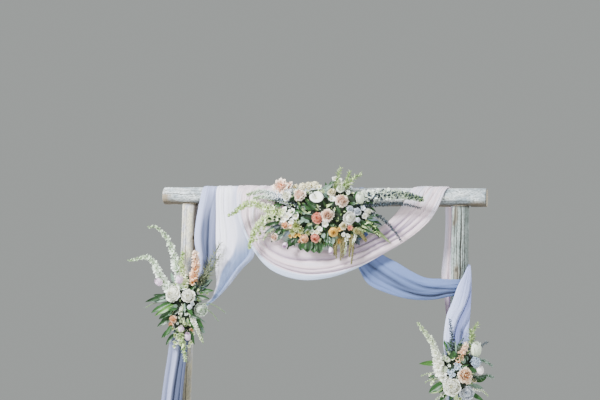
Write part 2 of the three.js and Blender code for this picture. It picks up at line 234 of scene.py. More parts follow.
def mesh_object(name, points, faces, materials, uv=None, slots=None, **attributes):
    """A smooth-shaded mesh object with an optional UV map, material slots and attributes."""
    mesh = bpy.data.meshes.new(name)
    mesh.from_pydata(np.asarray(points, float).tolist(), [], faces)
    for key, values in attributes.items():
        values = np.asarray(values, np.float32)
        kind, field = ("FLOAT_VECTOR", "vector") if values.ndim == 2 else ("FLOAT", "value")
        mesh.attributes.new(key, kind, "POINT").data.foreach_set(field, values.ravel())
    if uv is not None:
        corners = np.zeros(len(mesh.loops), np.int32)
        mesh.loops.foreach_get("vertex_index", corners)
        layer = mesh.uv_layers.new(name="Cloth")
        layer.data.foreach_set("uv", np.asarray(uv, np.float32)[corners].ravel())
    for material in materials:
        mesh.materials.append(material)
    if slots is not None:
        mesh.polygons.foreach_set("material_index", np.asarray(slots, np.int32))
    mesh.shade_smooth()
    return linked_object(name, mesh)


def finish_piece(piece, slot, *nodes):
    """Rides a piece on the arch and replaces its CAD nodes. Its slot is not used."""
    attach(piece, BODY)
    if nodes:
        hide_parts(*nodes)


class ArchSizes(bpy.types.PropertyGroup):
    cloth_thickness: bpy.props.FloatProperty(
        name="Chiffon thickness", description="Thickness of the woven cloth",
        default=0.0008, min=0.0002, max=0.003, precision=4, unit="LENGTH")
    fold_depth: bpy.props.FloatProperty(
        name="Fold depth", description="Depth of the cloth's folds, as a share of the one made",
        default=1.0, min=0.3, max=1.3, subtype="FACTOR")
    check_depth: bpy.props.FloatProperty(
        name="Check depth", description="Depth of the deepest drying crack in the logs",
        default=0.009, min=0.001, max=0.015, precision=4, unit="LENGTH")
    leaf_length: bpy.props.FloatProperty(
        name="Leaf length", description="Length of the longest leaf in the arrangements",
        default=0.092, min=0.03, max=0.14, unit="LENGTH")
    leaves_per_area: bpy.props.FloatProperty(
        name="Leaves per square metre", description="How thickly the mounds are covered",
        default=1500, min=200, max=2500)
    camera_lens: bpy.props.FloatProperty(
        name="Camera lens", description="Focal length on a sensor 36 mm wide",
        default=85, min=20, max=200, unit="CAMERA")


def colour_property(name, code, description):
    return bpy.props.FloatVectorProperty(
        name=name, description=description, default=linear(code), size=3,
        min=0, max=1, subtype="COLOR")


class ArchColours(bpy.types.PropertyGroup):
    limewash: colour_property("Limewash", "#D8DDDF", "Sound limewash on the logs")
    bare_wood: colour_property("Bare wood", "#9A8260", "Weathered wood where the wash is gone")
    lavender: colour_property("Lavender", "#B1B7DA", "Pale blue-lavender chiffon")
    white: colour_property("White", "#EDEAFA", "White chiffon")
    blush: colour_property("Blush", "#F3E0E5", "Blush chiffon")
    dusty_blue: colour_property("Dusty blue", "#7084B4", "Dusty blue chiffon")
    leaf: colour_property("Leaf", "#254E1B", "Green leaves")
    silver_leaf: colour_property("Silver leaf", "#768E7C", "Grey-green leaves")
    white_petal: colour_property("White petal", "#F8F8E5", "White petals")
    peach_petal: colour_property("Peach petal", "#F5BE88", "Peach and orange petals")
    pink_petal: colour_property("Pink petal", "#FBDCC6", "Soft pink petals")
    coral_petal: colour_property("Coral petal", "#E88C70", "Coral petals")
    yellow_petal: colour_property("Yellow petal", "#DFA83C", "Yellow petals")
    blue_petal: colour_property("Blue petal", "#DFE5EF", "Pale blue petals")
    orchid_petal: colour_property("Orchid petal", "#E9C9E6", "Pale orchid petals")


def limewashed_log(name, wash, shaded_wash, wood, speckles):
    """Peeled softwood log under old limewash: a chalky matt white, thin on the ridges of the grain, where
    weathered wood shows, dark in the drying cracks, and stained by algae where it stays damp. The same dark
    colour also paints shade: contact shadow where the logs meet and shade along the beam's underside."""
    material, add = new_material(name)
    place = add("Attribute", attribute_name="log_place").outputs["Vector"]
    check, bare, end = (add("Attribute", attribute_name=attribute).outputs["Fac"]
                        for attribute in ("check", "bare", "end_grain"))
    # Grain fibres show 3 mm wide and 60 mm long, brush marks and worn patches 30 mm wide, thin
    # and thick wash in clouds 55 by 110 mm, and algae and dirt in flecks 6 by 15 mm
    fibre, patch, cloud, flecks = (
        add("TexNoise", {"Vector": add("Mapping", {"Vector": place, "Scale": (1, 1, stretch)}),
                         "Scale": scale, "Detail": detail, "Roughness": roughness})
        for stretch, scale, detail, roughness in (
            (0.05, 330, 4, 0.65), (0.25, 32, 5, 0.6), (0.5, 18, 4, 0.6), (0.4, 170, 3, 0.7)))
    grain = add("Math", {0: fibre, 1: patch}, operation="ADD")
    halved = add("Math", {0: grain, 1: 0.5}, operation="MULTIPLY")
    worn = add("Math", {0: bare, 1: 0.42, 2: halved}, operation="MULTIPLY_ADD")
    worn = add("ValToRGB", {"Fac": worn}, greys((0.52, 0), (0.6, 0.35), (0.78, 0.9)))
    # Growth rings on the sawn ends, about 3.5 mm apart
    flat = add("Mapping", {"Vector": place, "Scale": (1, 1, 0)})
    radius = add("VectorMath", {0: flat}, operation="LENGTH")
    ring = add("Math", {0: radius, 1: 1800, 2: cloud}, operation="MULTIPLY_ADD")
    rings = add("ValToRGB", {"Fac": add("Math", {0: ring}, operation="SINE")},
                ((0.0, linear("#C9BDA6")), (0.8, linear("#A28C6C")), (1.0, linear("#7E6A50"))))
    grey_wood, algae, crack = ((*linear(c), 1) for c in ("#6E6557", "#4E564C", "#2E261D"))
    bared = add("Mix", {"Factor": fibre, "A": grey_wood, "B": (*wood, 1)}, data_type="RGBA")
    layers = (
        (add("ValToRGB", {"Fac": cloud}, greys((0.4, 0), (0.62, 1))), (*shaded_wash, 1)),
        (add("ValToRGB", {"Fac": flecks}, greys((0.46, 0), (0.62, speckles))), algae),
        (worn, bared),
        # Dark in the drying cracks and knots, and painted shade from the dark marks: contact shadow at the
        # joints and shade under the beam
        (add("ValToRGB", {"Fac": check}, greys((0.12, 0), (0.62, 0.92))), crack),
        (end, rings))
    colour = (*wash, 1)
    for mask, layer in layers:
        colour = add("Mix", {"Factor": mask, "A": colour, "B": layer}, data_type="RGBA")
    bump = add("Bump", {"Height": grain, "Strength": 0.7, "Distance": 0.0012})
    roughness = add("ValToRGB", {"Fac": worn}, greys((0, 0.88), (1, 0.7)))
    chalk = add("BsdfPrincipled", {"Base Color": colour, "Normal": bump, "Roughness": roughness})
    add("OutputMaterial", {"Surface": chalk})
    return material


def chiffon(name, lit, colour, doubled, sheerness):
    """Polyester chiffon: a matt, slightly crinkled weave that lets light and some of what is behind it
    through. Its colour is ramped over the cloth's tone, which is painted light and shade: the lit colour
    where a panel faces the light, and the darkest colour as painted shade in creases and on panels turned
    away from the light, which also stands for the deeper colour of two layers in a fold. Its threads are 0.2
    mm apart, too fine to show, so the crinkle of the crepe yarn is drawn 3 mm across."""
    material, add = new_material(name)
    # The tone: painted light and shade on the cloth's panels and creases, and the deeper colour of two
    # layers
    layers = add("Attribute", attribute_name="tone").outputs["Fac"]
    streaks = add("Mapping", {"Vector": add("UVMap", uv_map="Cloth"), "Scale": (1, 0.15, 1)})
    crinkle = add("TexNoise", {"Vector": streaks, "Scale": 300, "Detail": 3, "Roughness": 0.55})
    soft = add("TexNoise", {"Vector": streaks, "Scale": 22, "Detail": 3})
    uneven = add("Math", {0: soft, 1: 0.36, 2: -0.18}, operation="MULTIPLY_ADD")
    deep = add("Math", {0: layers, 1: uneven}, operation="ADD")
    deep = add("Math", {0: deep, 1: 0.5, 2: 0.5}, operation="MULTIPLY_ADD")
    tone = add("ValToRGB", {"Fac": deep}, ((0.05, lit), (0.5, colour), (0.98, doubled)))
    height = add("Math", {0: soft, 1: 1.5, 2: crinkle}, operation="MULTIPLY_ADD")
    bump = add("Bump", {"Height": height, "Strength": 0.4, "Distance": 0.0010})
    front = add("BsdfPrincipled", {"Base Color": tone, "Roughness": 0.82, "Sheen Weight": 0.2,
                                   "Specular IOR Level": 0.2, "Normal": bump})
    through = add("BsdfTranslucent", {"Color": tone, "Normal": bump})
    woven = add("MixShader", {0: 0.25, 1: front, 2: through})
    holes = add("BsdfTransparent")
    sheer = add("MixShader", {0: sheerness, 1: woven, 2: holes})
    add("OutputMaterial", {"Surface": sheer})
    return material


def veined(add, colour, scale, strength, share, **finish):
    """Ends a petal's or leaf's material: fine veins, and a share of the light let through."""
    place = add("TexCoord").outputs["Object"]
    veins = add("TexNoise", {"Vector": place, "Scale": scale, "Detail": 3})
    bump = add("Bump", {"Height": veins, "Strength": strength, "Distance": 0.0008})
    skin = add("BsdfPrincipled", {"Base Color": colour, "Normal": bump, **finish})
    through = add("BsdfTranslucent", {"Color": colour})
    mixed = add("MixShader", {0: share, 1: skin, 2: through})
    add("OutputMaterial", {"Surface": mixed})


def petal_skin(name, heart, body, edge, young):
    """A living petal: velvety and a little translucent, deeper in colour at its heart and
    paler at its edge, each petal a slightly different tone, and young ones near the tip of a
    spike another colour. Its veins and soft puckers are about 2 mm apart."""
    material, add = new_material(name)
    shade, tint, near_tip = (add("Attribute", attribute_name=attribute).outputs["Fac"]
                             for attribute in ("shade", "tint", "near_tip"))
    colour = add("ValToRGB", {"Fac": shade}, ((0.0, heart), (0.45, body), (1.0, edge)))
    youth = add("ValToRGB", {"Fac": near_tip}, greys((0.3, 0), (1, 0.85)))
    colour = add("Mix", {"Factor": youth, "A": colour, "B": (*young, 1)}, data_type="RGBA")
    toned = add("HueSaturation", {
        "Color": colour,
        "Value": add("ValToRGB", {"Fac": tint}, greys((0, 0.88), (1, 1.08))),
        "Saturation": add("ValToRGB", {"Fac": tint}, greys((0, 1.15), (1, 0.9)))})
    veined(add, toned, 420, 0.35, 0.18,
           **{"Roughness": 0.6, "Specular IOR Level": 0.3, "Sheen Weight": 0.15})
    return material


def leaf_skin(name, dark, light, roughness):
    """A fresh leaf: waxy, with a paler midrib and young leaves lighter than old ones."""
    material, add = new_material(name)
    shade, tint = (add("Attribute", attribute_name=attribute).outputs["Fac"]
                   for attribute in ("shade", "tint"))
    young, midrib = (tuple(min(1, c * paler) for c in light) for paler in (1.35, 1.8))
    base = add("ValToRGB", {"Fac": tint}, ((0.0, dark), (0.7, light), (1.0, young)))
    rib = add("ValToRGB", {"Fac": shade}, greys((0, 0.3), (0.14, 0)))
    ribbed = add("Mix", {"Factor": rib, "A": base, "B": (*midrib, 1)}, data_type="RGBA")
    veined(add, ribbed, 260, 0.4, 0.2, Roughness=roughness)
    return material


def log_surface(length, radii, seed, checks, knots, bare_patches, stains, cuts=()):
    """A log lying along its own z from 0: its points and attributes, from cap to cap. Checks are (degrees,
    start, end, depth share, width), knots (degrees, place, size), bare patches (degrees, place, reach round,
    reach along), and dark marks the same and then their strength. The dark marks are partly real staining
    and partly painted shade, such as contact shadow at the joints."""
    sides, spacing, chamfer = 128, 11, 6
    rows = np.unique(np.concatenate([np.arange(chamfer, length - chamfer, spacing), cuts]))
    rows = rows[(rows >= chamfer) & (rows <= length - chamfer)]
    cap = [(0, 0.3), (0, 0.6), (0, 0.84), (0, 0.955), (1.8, 0.985)]
    stations = np.array(cap + [(s, 1.0) for s in rows]
                        + [(length - s, share) for s, share in reversed(cap)])
    s, share = stations[:, :1], stations[:, 1:]
    turn = np.arange(sides)[None, :] * 2 * np.pi / sides
    radius = radii[0] + (radii[1] - radii[0]) * s / length + 0 * turn
    # Lumps, ripples and grain: how high, how many round the log, and how long in millimetres
    for i, (height, count, long) in enumerate(((1.3, 5, 230), (0.5, 24, 60), (0.35, 56, 150))):
        across = (turn / (2 * np.pi) + 0 * s) * count
        radius = radius + height * smooth_noise(across, s / long + 0 * turn, seed + i, count)
    check, bare = np.zeros_like(radius), np.zeros_like(radius)
    deepest = bpy.context.scene.arch_sizes.check_depth * 1000

    def gap_from(degrees):
        return (turn - np.radians(degrees) + np.pi) % (2 * np.pi) - np.pi

    def spot(degrees, place, reach_round, reach_along):
        away = (gap_from(degrees) * radii[0] / reach_round) ** 2 + ((s - place) / reach_along) ** 2
        return np.exp(-away * 1.2)

    for i, (degrees, start, end, depth, width) in enumerate(checks):
        gap = gap_from(smooth_noise(s / 70, 0 * s + i, seed + 3) * 3 + degrees)
        open_here = np.clip(np.sin(np.pi * np.clip((s - start) / (end - start), 0, 1)), 0, 1) ** 0.5
        profile = np.exp(-(gap * radius / width) ** 2) * open_here
        radius = radius - deepest * depth * profile
        check = np.maximum(check, profile)
    for degrees, place, size in knots:
        away = ((gap_from(degrees) * radii[0]) ** 2 + ((s - place) / 1.5) ** 2) / size ** 2
        radius = radius + 0.16 * size * np.exp(-away) - 0.2 * size * np.exp(-away * 6)
        check = np.maximum(check, 0.9 * np.exp(-away * 3.5))
        bare = np.maximum(bare, np.exp(-away * 0.7))
    for patch in bare_patches:
        bare = np.maximum(bare, spot(*patch))
    # Dark marks: some real staining, some painted shade and contact shadow
    for *stain, strength in stains:
        check = np.maximum(check, strength * spot(*stain))
    reach = radius * share
    local = np.stack([reach * np.cos(turn), reach * np.sin(turn), s + 0 * turn], -1)
    wall = (share > 0.98) + 0 * turn
    points = np.vstack([[0, 0, 0], local.reshape(-1, 3), [0, 0, length]])
    values = [np.concatenate([[a], v.ravel(), [a]])
              for v, a in ((check, 0), (bare, 0), (1 - wall, 1))]
    return points, capped_tube_faces(len(stations), sides), values


def log_piece(name, node_name, material, surface, place):
    """The log's points put in their place on the arch, keeping where they are on the log."""
    points, faces, (check, bare, end_grain) = surface
    made = mesh_object(name, mm(place(points)), faces, [material],
                       log_place=mm(points), check=check, bare=bare, end_grain=end_grain)
    finish_piece(made, "whitewashed_log", node_name)


def on_beam(points):
    """A log's own place to the beam's, with the flat seats cut over the posts."""
    placed = np.stack([points[:, 2] + BEAM_START, points[:, 1],
                       BEAM_AXIS_HEIGHT - points[:, 0]], -1)
    for x in (0, POST_SPACING):
        seated = (np.abs(placed[:, 0] - x) < SEAT_HALF) & (placed[:, 2] < SEAT_HEIGHT)
        placed[seated, 2] = SEAT_HEIGHT
    return placed


LEFT_LOG = dict(
    checks=[(236, 1500, 2330, 0.3, 2.2), (305, 300, 1500, 0.6, 2.8), (262, 1750, 2290, 0.2, 2),
            (80, 200, 1900, 0.8, 3), (150, 900, 2330, 0.4, 2.4), (20, 1200, 2200, 0.4, 2.4),
            (250, 100, 900, 0.4, 2.4)],
    knots=[(318, 2080, 13), (60, 1400, 17), (200, 700, 15), (285, 620, 14)],
    bare_patches=[(335, 2120, 30, 300), (325, 1700, 22, 240), (100, 1500, 40, 200), (270, 60, 60, 130),
                  (90, 60, 60, 130)],
    # Dark marks: at the top, dark wood at the joint with painted contact shadow under the beam; the wide one
    # low down is painted shade below the flowers
    stains=[(300, 2294, 120, 12, 0.75), (352, 2200, 16, 200, 0.5), (90, 2294, 120, 10, 0.6),
            (290, 1100, 150, 460, 0.5)])
RIGHT_LOG = dict(
    checks=[(281, 1660, 2350, 0.95, 4.6), (252, 1880, 2330, 0.45, 2.4), (296, 1500, 2100, 0.4, 2.4),
            (232, 1700, 2280, 0.35, 2.4), (310, 1750, 2330, 0.3, 2.2), (265, 1640, 1990, 0.35, 2.2),
            (95, 400, 2330, 0.9, 3), (30, 1100, 2000, 0.4, 2.6), (160, 300, 1600, 0.5, 2.6)],
    knots=[(253, 1905, 15), (110, 1250, 16), (30, 1700, 13), (225, 2190, 9)],
    bare_patches=[(236, 2240, 14, 70), (255, 1880, 20, 60), (90, 1700, 40, 260), (250, 60, 80, 120)],
    # Dark marks: at the top, dark wood at the joint with painted contact shadow under the beam; the others
    # are dark wood at a crack and a knot
    stains=[(280, 2294, 130, 12, 0.8), (236, 2230, 8, 160, 0.7), (256, 1912, 8, 12, 0.7)])
BEAM_LOG = dict(
    checks=[(240, 20, 700, 0.3, 2.2), (190, 300, 1500, 0.7, 3), (120, 100, 1200, 0.6, 2.8),
            (60, 700, 1950, 0.5, 2.6), (262, -60, 330, 0.4, 2.2), (300, 1740, 1960, 0.2, 2)],
    knots=[(300, 1560, 12), (230, 1745, 10), (110, 640, 15), (340, 470, 14)],
    bare_patches=[(320, 8, 70, 44), (335, 90, 16, 90), (340, 300, 14, 160), (345, 500, 16, 260),
                  (332, 1985, 26, 80), (345, 1700, 18, 260), (20, 900, 50, 500), (90, 1300, 30, 300)],
    # Dark marks: over each seat, dark wood at the joint with painted contact shadow; the long one at 330
    # degrees is painted shade along the underside; the rest are dark patches and lines at the ends
    stains=[(336, 172, 9, 75, 0.75), (336, 1882, 8, 90, 0.75), (332, 1985, 26, 90, 0.55),
            (346, 1980, 9, 100, 0.8), (270, 2038, 200, 5, 0.6), (322, 6, 24, 14, 0.5),
            (330, 1000, 36, 3000, 0.6)])


class ARCH_OT_logs(bpy.types.Operator):
    """Makes the two posts and the beam"""

    bl_idname = "arch.logs"
    bl_label = "Logs"

    def execute(self, context):
        colours = context.scene.arch_colours
        sound = limewashed_log("Limewashed softwood log", colours.limewash, linear("#8D99A2"),
                               colours.bare_wood, 0.85)
        yellowed = limewashed_log("Yellowed limewashed log",
                                  *map(linear, ("#E2D8B8", "#B9B9C2", "#8C7B62")), 0.5)
        damp = limewashed_log("Damp-stained limewashed log",
                              *map(linear, ("#A8B1AE", "#7F8B88", "#726A54")), 0.7)
        log_piece("limewashed_left_post", "left_post", yellowed,
                  log_surface(POST_HEIGHT, LEFT_POST_RADII, 11, **LEFT_LOG),
                  lambda points: points)
        log_piece("limewashed_right_post", "right_post", damp,
                  log_surface(POST_HEIGHT, RIGHT_POST_RADII, 23, **RIGHT_LOG),
                  lambda points: points + [POST_SPACING, 0, 0])
        seat_ends = [x - BEAM_START + side * (SEAT_HALF + step)
                     for x in (0, POST_SPACING) for side in (-1, 1) for step in (-0.2, 0.2)]
        log_piece("limewashed_beam", "top_beam", sound,
                  log_surface(BEAM_END - BEAM_START, BEAM_RADII, 37, cuts=seat_ends, **BEAM_LOG),
                  on_beam)
        return {"FINISHED"}


def over_beam(from_x, to_x, from_degrees, to_degrees, raised=0.0):
    """Points every 30 degrees round the beam, from its front (0) over its top (90) to its
    back, as the cloth's edge moves from one x to another."""
    count = round(abs(to_degrees - from_degrees) / 30)
    x = np.linspace(from_x, to_x, count + 1)
    angle = np.radians(np.linspace(from_degrees, to_degrees, count + 1))
    share = (x - BEAM_START) / (BEAM_END - BEAM_START)
    lift = BEAM_RADII[0] + (BEAM_RADII[1] - BEAM_RADII[0]) * share + WRAP_LIFT + raised
    return np.stack([x, -lift * np.cos(angle), BEAM_AXIS_HEIGHT + lift * np.sin(angle)],
                    -1).tolist()


def eased(u, points):
    """A value along u through (u, value) points with rounded corners, or the same throughout."""
    if np.isscalar(points):
        return points + 0 * u
    at, values = zip(*points)
    return sum(np.interp(u + step, at, values) for step in np.linspace(-0.025, 0.025, 7)) / 7


def creased(u, v, width, creases, tones):
    """How far the cloth sinks at its creases, from 0 to 1, and its tone, which is painted light and shade:
    from -1 where one layer faces the light to 1 where two layers lie in shade, and darker still as painted
    shade along each crease. A crease is its (u, v) line, its (u, share) depths and how many millimetres it
    reaches before and after it. The tones are the painted light and shade of the panels from the first edge
    to the second."""
    sunk, tone, shaded = 0 * u * v, eased(u, tones[0]) + 0 * v, 0 * u * v
    for (line, depths, before, after), here, beyond in zip(creases, tones, tones[1:]):
        away = (v - eased(u, line)) * width
        t = np.clip(np.where(away < 0, -away / before, away / after), 0, 1)
        sunk = np.maximum(sunk, eased(u, depths) * (1 - (t * (2 - t)) ** 0.7))
        # Painted shade, darkest at each crease
        shaded = np.maximum(shaded, eased(u, depths) * (1 - t) ** 1.3)
        soft = 0.4 * min(before, after)
        tone = tone + (eased(u, beyond) - eased(u, here)) * smoothstep(away, -soft, soft)
    return sunk, tone + 0.85 * shaded


def pleated(v, u, across, along, seed):
    """Fine rounded pleats from 0 to 1, which wander and merge."""
    sway = 0.8 * smooth_noise(u * along * 1.4 + 3, v * 1.3, seed + 1)
    wave = smooth_noise(v * across + sway, u * along, seed)
    return np.clip(1.55 * np.abs(wave), 0, 1) ** 0.75


def draped(first, second, facing, loft, creases, tones, fine, rows, columns, seed,
           across=13, along=4, lean=0.0):
    """The grid of a length of cloth between two edges, each a list of points along it.
    facing is 1 or -1, the side it stands out on. loft and fine are how far it stands out and
    how deep its fine pleats are, each a list of (u, millimetres), and across is how many fine
    pleats lie side by side. lean tips the folds over towards the second edge."""
    u, v = np.linspace(0, 1, rows)[:, None], np.linspace(0, 1, columns)[None, :]
    a, b = spline(first, u[:, 0]), spline(second, u[:, 0])
    share = bpy.context.scene.arch_sizes.fold_depth
    width = np.linalg.norm(b - a, axis=1)[:, None]
    middle = (a + b) / 2
    length = np.concatenate([[0], np.cumsum(np.linalg.norm(np.diff(middle, axis=0), axis=1))])
    run = length[:, None] + 0 * v
    full = eased(u, loft) * share
    sunk, tone = creased(u, v, width, creases, tones)
    rounded = 0.3 + 0.7 * (1 - (2 * v - 1) ** 4)
    height = full * rounded * (1 - sunk)
    height = height + 0.14 * full * smooth_noise(v * 2.5, run / 220, seed + 30)
    height = height + (0.03 * full + 0.2) * smooth_noise(v * width / 9, run / 90, seed + 20)
    pleats = pleated(v, u, across, along, seed)
    height = height + eased(u, fine) * share * pleats
    # Painted shade in the fine pleats' hollows and painted light on their crests
    tone = tone + 0.5 * np.clip(eased(u, fine) / 6, 0, 1) * (0.5 - pleats)
    base = a[:, None, :] * (1 - v[..., None]) + b[:, None, :] * v[..., None]
    along_cloth = unit(np.gradient(base, axis=0))
    across_cloth = unit(b - a)[:, None, :] + 0 * base
    normal = facing * unit(np.cross(along_cloth, across_cloth))
    points = base + normal * height[..., None]
    tip_over = lean * height * np.sin(np.pi * v) ** 0.5
    points = points + across_cloth * tip_over[..., None]
    steps = np.linalg.norm(np.diff(points, axis=1), axis=2)
    stretch = np.concatenate([np.zeros((rows, 1)), np.cumsum(steps, axis=1)], axis=1)
    return points, np.stack([stretch, run], -1) * 0.001, np.clip(tone, -1, 1)


def cloth_piece(name, shape, material, slot, node_name):
    """A draped length of chiffon as a woven sheet with thickness."""
    points, uv, tone = draped(**shape)
    made = mesh_object(name, mm(points.reshape(-1, 3)), grid_faces(*points.shape[:2]), [material],
                       uv=uv.reshape(-1, 2), tone=tone.ravel())
    solid = made.modifiers.new("Thickness", "SOLIDIFY")
    solid.thickness = bpy.context.scene.arch_sizes.cloth_thickness
    solid.offset = 0
    finish_piece(made, slot, node_name)


# The two edges of each length of chiffon, from its first end to its last, and its folds. Its tones are
# painted light and shade on its panels, and also the deeper colour where two layers lie together.
LAVENDER_FALL = dict(
    facing=1, rows=110, columns=64, seed=101, across=8,
    first=[[98, 62, 2060], [103, 60, 2200], *over_beam(106, 86, 180, 0), [72, -63, 2260], [60, -63, 2170],
           [56, -63, 2060], [80, -63, 1950], [92, -64, 1870], [72, -65, 1800]],
    second=[[186, 60, 2040], [178, 58, 2200], *over_beam(184, 190, 180, 0, -2.5), [190, -59, 2260],
            [194, -58, 2170], [196, -58, 2060], [196, -60, 1950], [178, -64, 1870], [132, -65, 1800]],
    loft=[(0, 6), (0.15, 3), (0.5, 3), (0.62, 13), (0.72, 21), (0.9, 20), (1, 5)],
    creases=[([(0, 0.3), (0.6, 0.38), (0.75, 0.34), (0.8, 0.38), (0.9, 0.34), (1, 0.3)],
              [(0.1, 0.4), (0.62, 0.1), (0.7, 0.3), (0.8, 0.6), (1, 0.6)], 26, 20),
             ([(0, 0.7), (0.5, 0.86), (0.56, 0.92), (0.624, 0.76), (0.683, 0.66), (0.79, 0.66), (0.85, 0.6),
               (1, 0.55)], [(0, 0.3), (0.5, 0.08), (0.6, 0.12), (0.7, 0.3), (1, 0.7)], 16, 50)],
    tones=[-0.2, [(0.4, -0.1), (0.6, 0.3), (0.72, 0.85), (1, 0.85)],
           [(0.4, -0.3), (0.55, 0.15), (0.72, 0.4), (1, 0.5)]],
    fine=[(0, 3), (0.15, 3), (0.5, 3), (0.66, 1.2), (1, 1.5)])
WHITE_CURTAIN = dict(
    facing=1, rows=150, columns=88, seed=131, across=11,
    first=[[192, 62, 1980], [186, 60, 2160], *over_beam(181, 184, 180, 0, 1.5), [190, -67, 2250],
           [197, -69, 2080], [205, -70, 1985], [204, -70, 1880], [209, -70, 1790], [180, -70, 1699],
           [112, -70, 1652]],
    second=[[318, 62, 2010], [318, 60, 2170], *over_beam(324, 328, 180, 0), [344, -66, 2250],
            [438, -66, 2070], [446, -68, 1968], [372, -70, 1885], [292, -70, 1782], [205, -70, 1690],
            [118, -70, 1632]],
    loft=[(0, 6), (0.12, 3), (0.42, 3), (0.58, 10), (0.7, 30), (0.85, 28), (0.94, 9), (1, 3)],
    creases=[([(0, 0.14), (0.6, 0.13), (0.7, 0.16), (1, 0.1)],
              [(0.1, 0.4), (0.5, 0.6), (0.66, 0.3), (0.74, 0.1), (1, 0)], 14, 18),
             ([(0, 0.4), (0.6, 0.36), (0.66, 0.33), (0.74, 0.26), (1, 0.1)],
              [(0.1, 0.4), (0.5, 0.6), (0.62, 0.3), (0.7, 0.1), (0.8, 0), (1, 0)], 18, 24),
             ([(0.4, 0.74), (0.615, 0.71), (0.644, 0.63), (0.672, 0.57), (0.727, 0.47), (0.772, 0.37),
               (0.821, 0.25), (0.871, 0.17), (1, 0.12)], 0, 30, 30),
             ([(0, 0.8), (0.55, 0.86), (0.66, 0.93), (0.703, 0.9), (0.762, 0.8), (0.825, 0.78), (0.871, 0.7),
               (1, 0.6)], [(0.1, 0.3), (0.5, 0.3), (0.64, 0.35), (0.75, 0.5), (1, 0.6)], 130, 22)],
    tones=[-0.8, -1, [(0.5, -0.9), (0.66, -0.3)], [(0.6, -0.1), (0.66, 0.3), (0.72, 0.75), (1, 0.7)],
           [(0.6, 0.3), (0.72, 0.75), (1, 0.6)]],
    fine=[(0, 3), (0.12, 3), (0.45, 3), (0.62, 2), (0.75, 1), (0.92, 2), (1, 2)])
LAVENDER_DRAPE = dict(
    facing=1, rows=170, columns=80, seed=151, across=9, along=2,
    first=[[-20, -72, 1603.7], [-70, -72, 1450], [-84, -72, 1340], [-110, -72, 1100], [-128, -71, 800],
           [-150, -70, 400], [-180, -69, HEM_HEIGHT]],
    second=[[38, -72, 1603.7], [46, -72, 1450], [40, -72, 1340], [22, -72, 1100], [20, -73, 800],
            [30, -74, 400], [44, -75, HEM_HEIGHT]],
    loft=[(0, 5), (0.15, 20), (0.6, 26), (1, 28)],
    creases=[([(0, 0.2), (0.4, 0.27), (1, 0.22)], [(0, 0.5), (0.3, 0.2), (0.5, 0.3), (0.7, 0.7), (1, 0.8)],
              24, 20),
             ([(0, 0.55), (0.34, 0.64), (0.39, 0.61), (0.52, 0.57), (0.8, 0.5), (1, 0.46)],
              [(0, 0.7), (0.3, 0.95), (1, 0.9)], 16, 60),
             ([(0, 0.8), (0.5, 0.88), (0.7, 0.8), (1, 0.74)], [(0, 0.4), (0.4, 0.4), (0.7, 0.7), (1, 0.8)],
              20, 20)],
    tones=[0.5, 0.1, [(0, 1), (0.6, 0.9), (1, 0.4)], 0.7],
    fine=[(0, 4), (0.2, 2), (1, 2)])
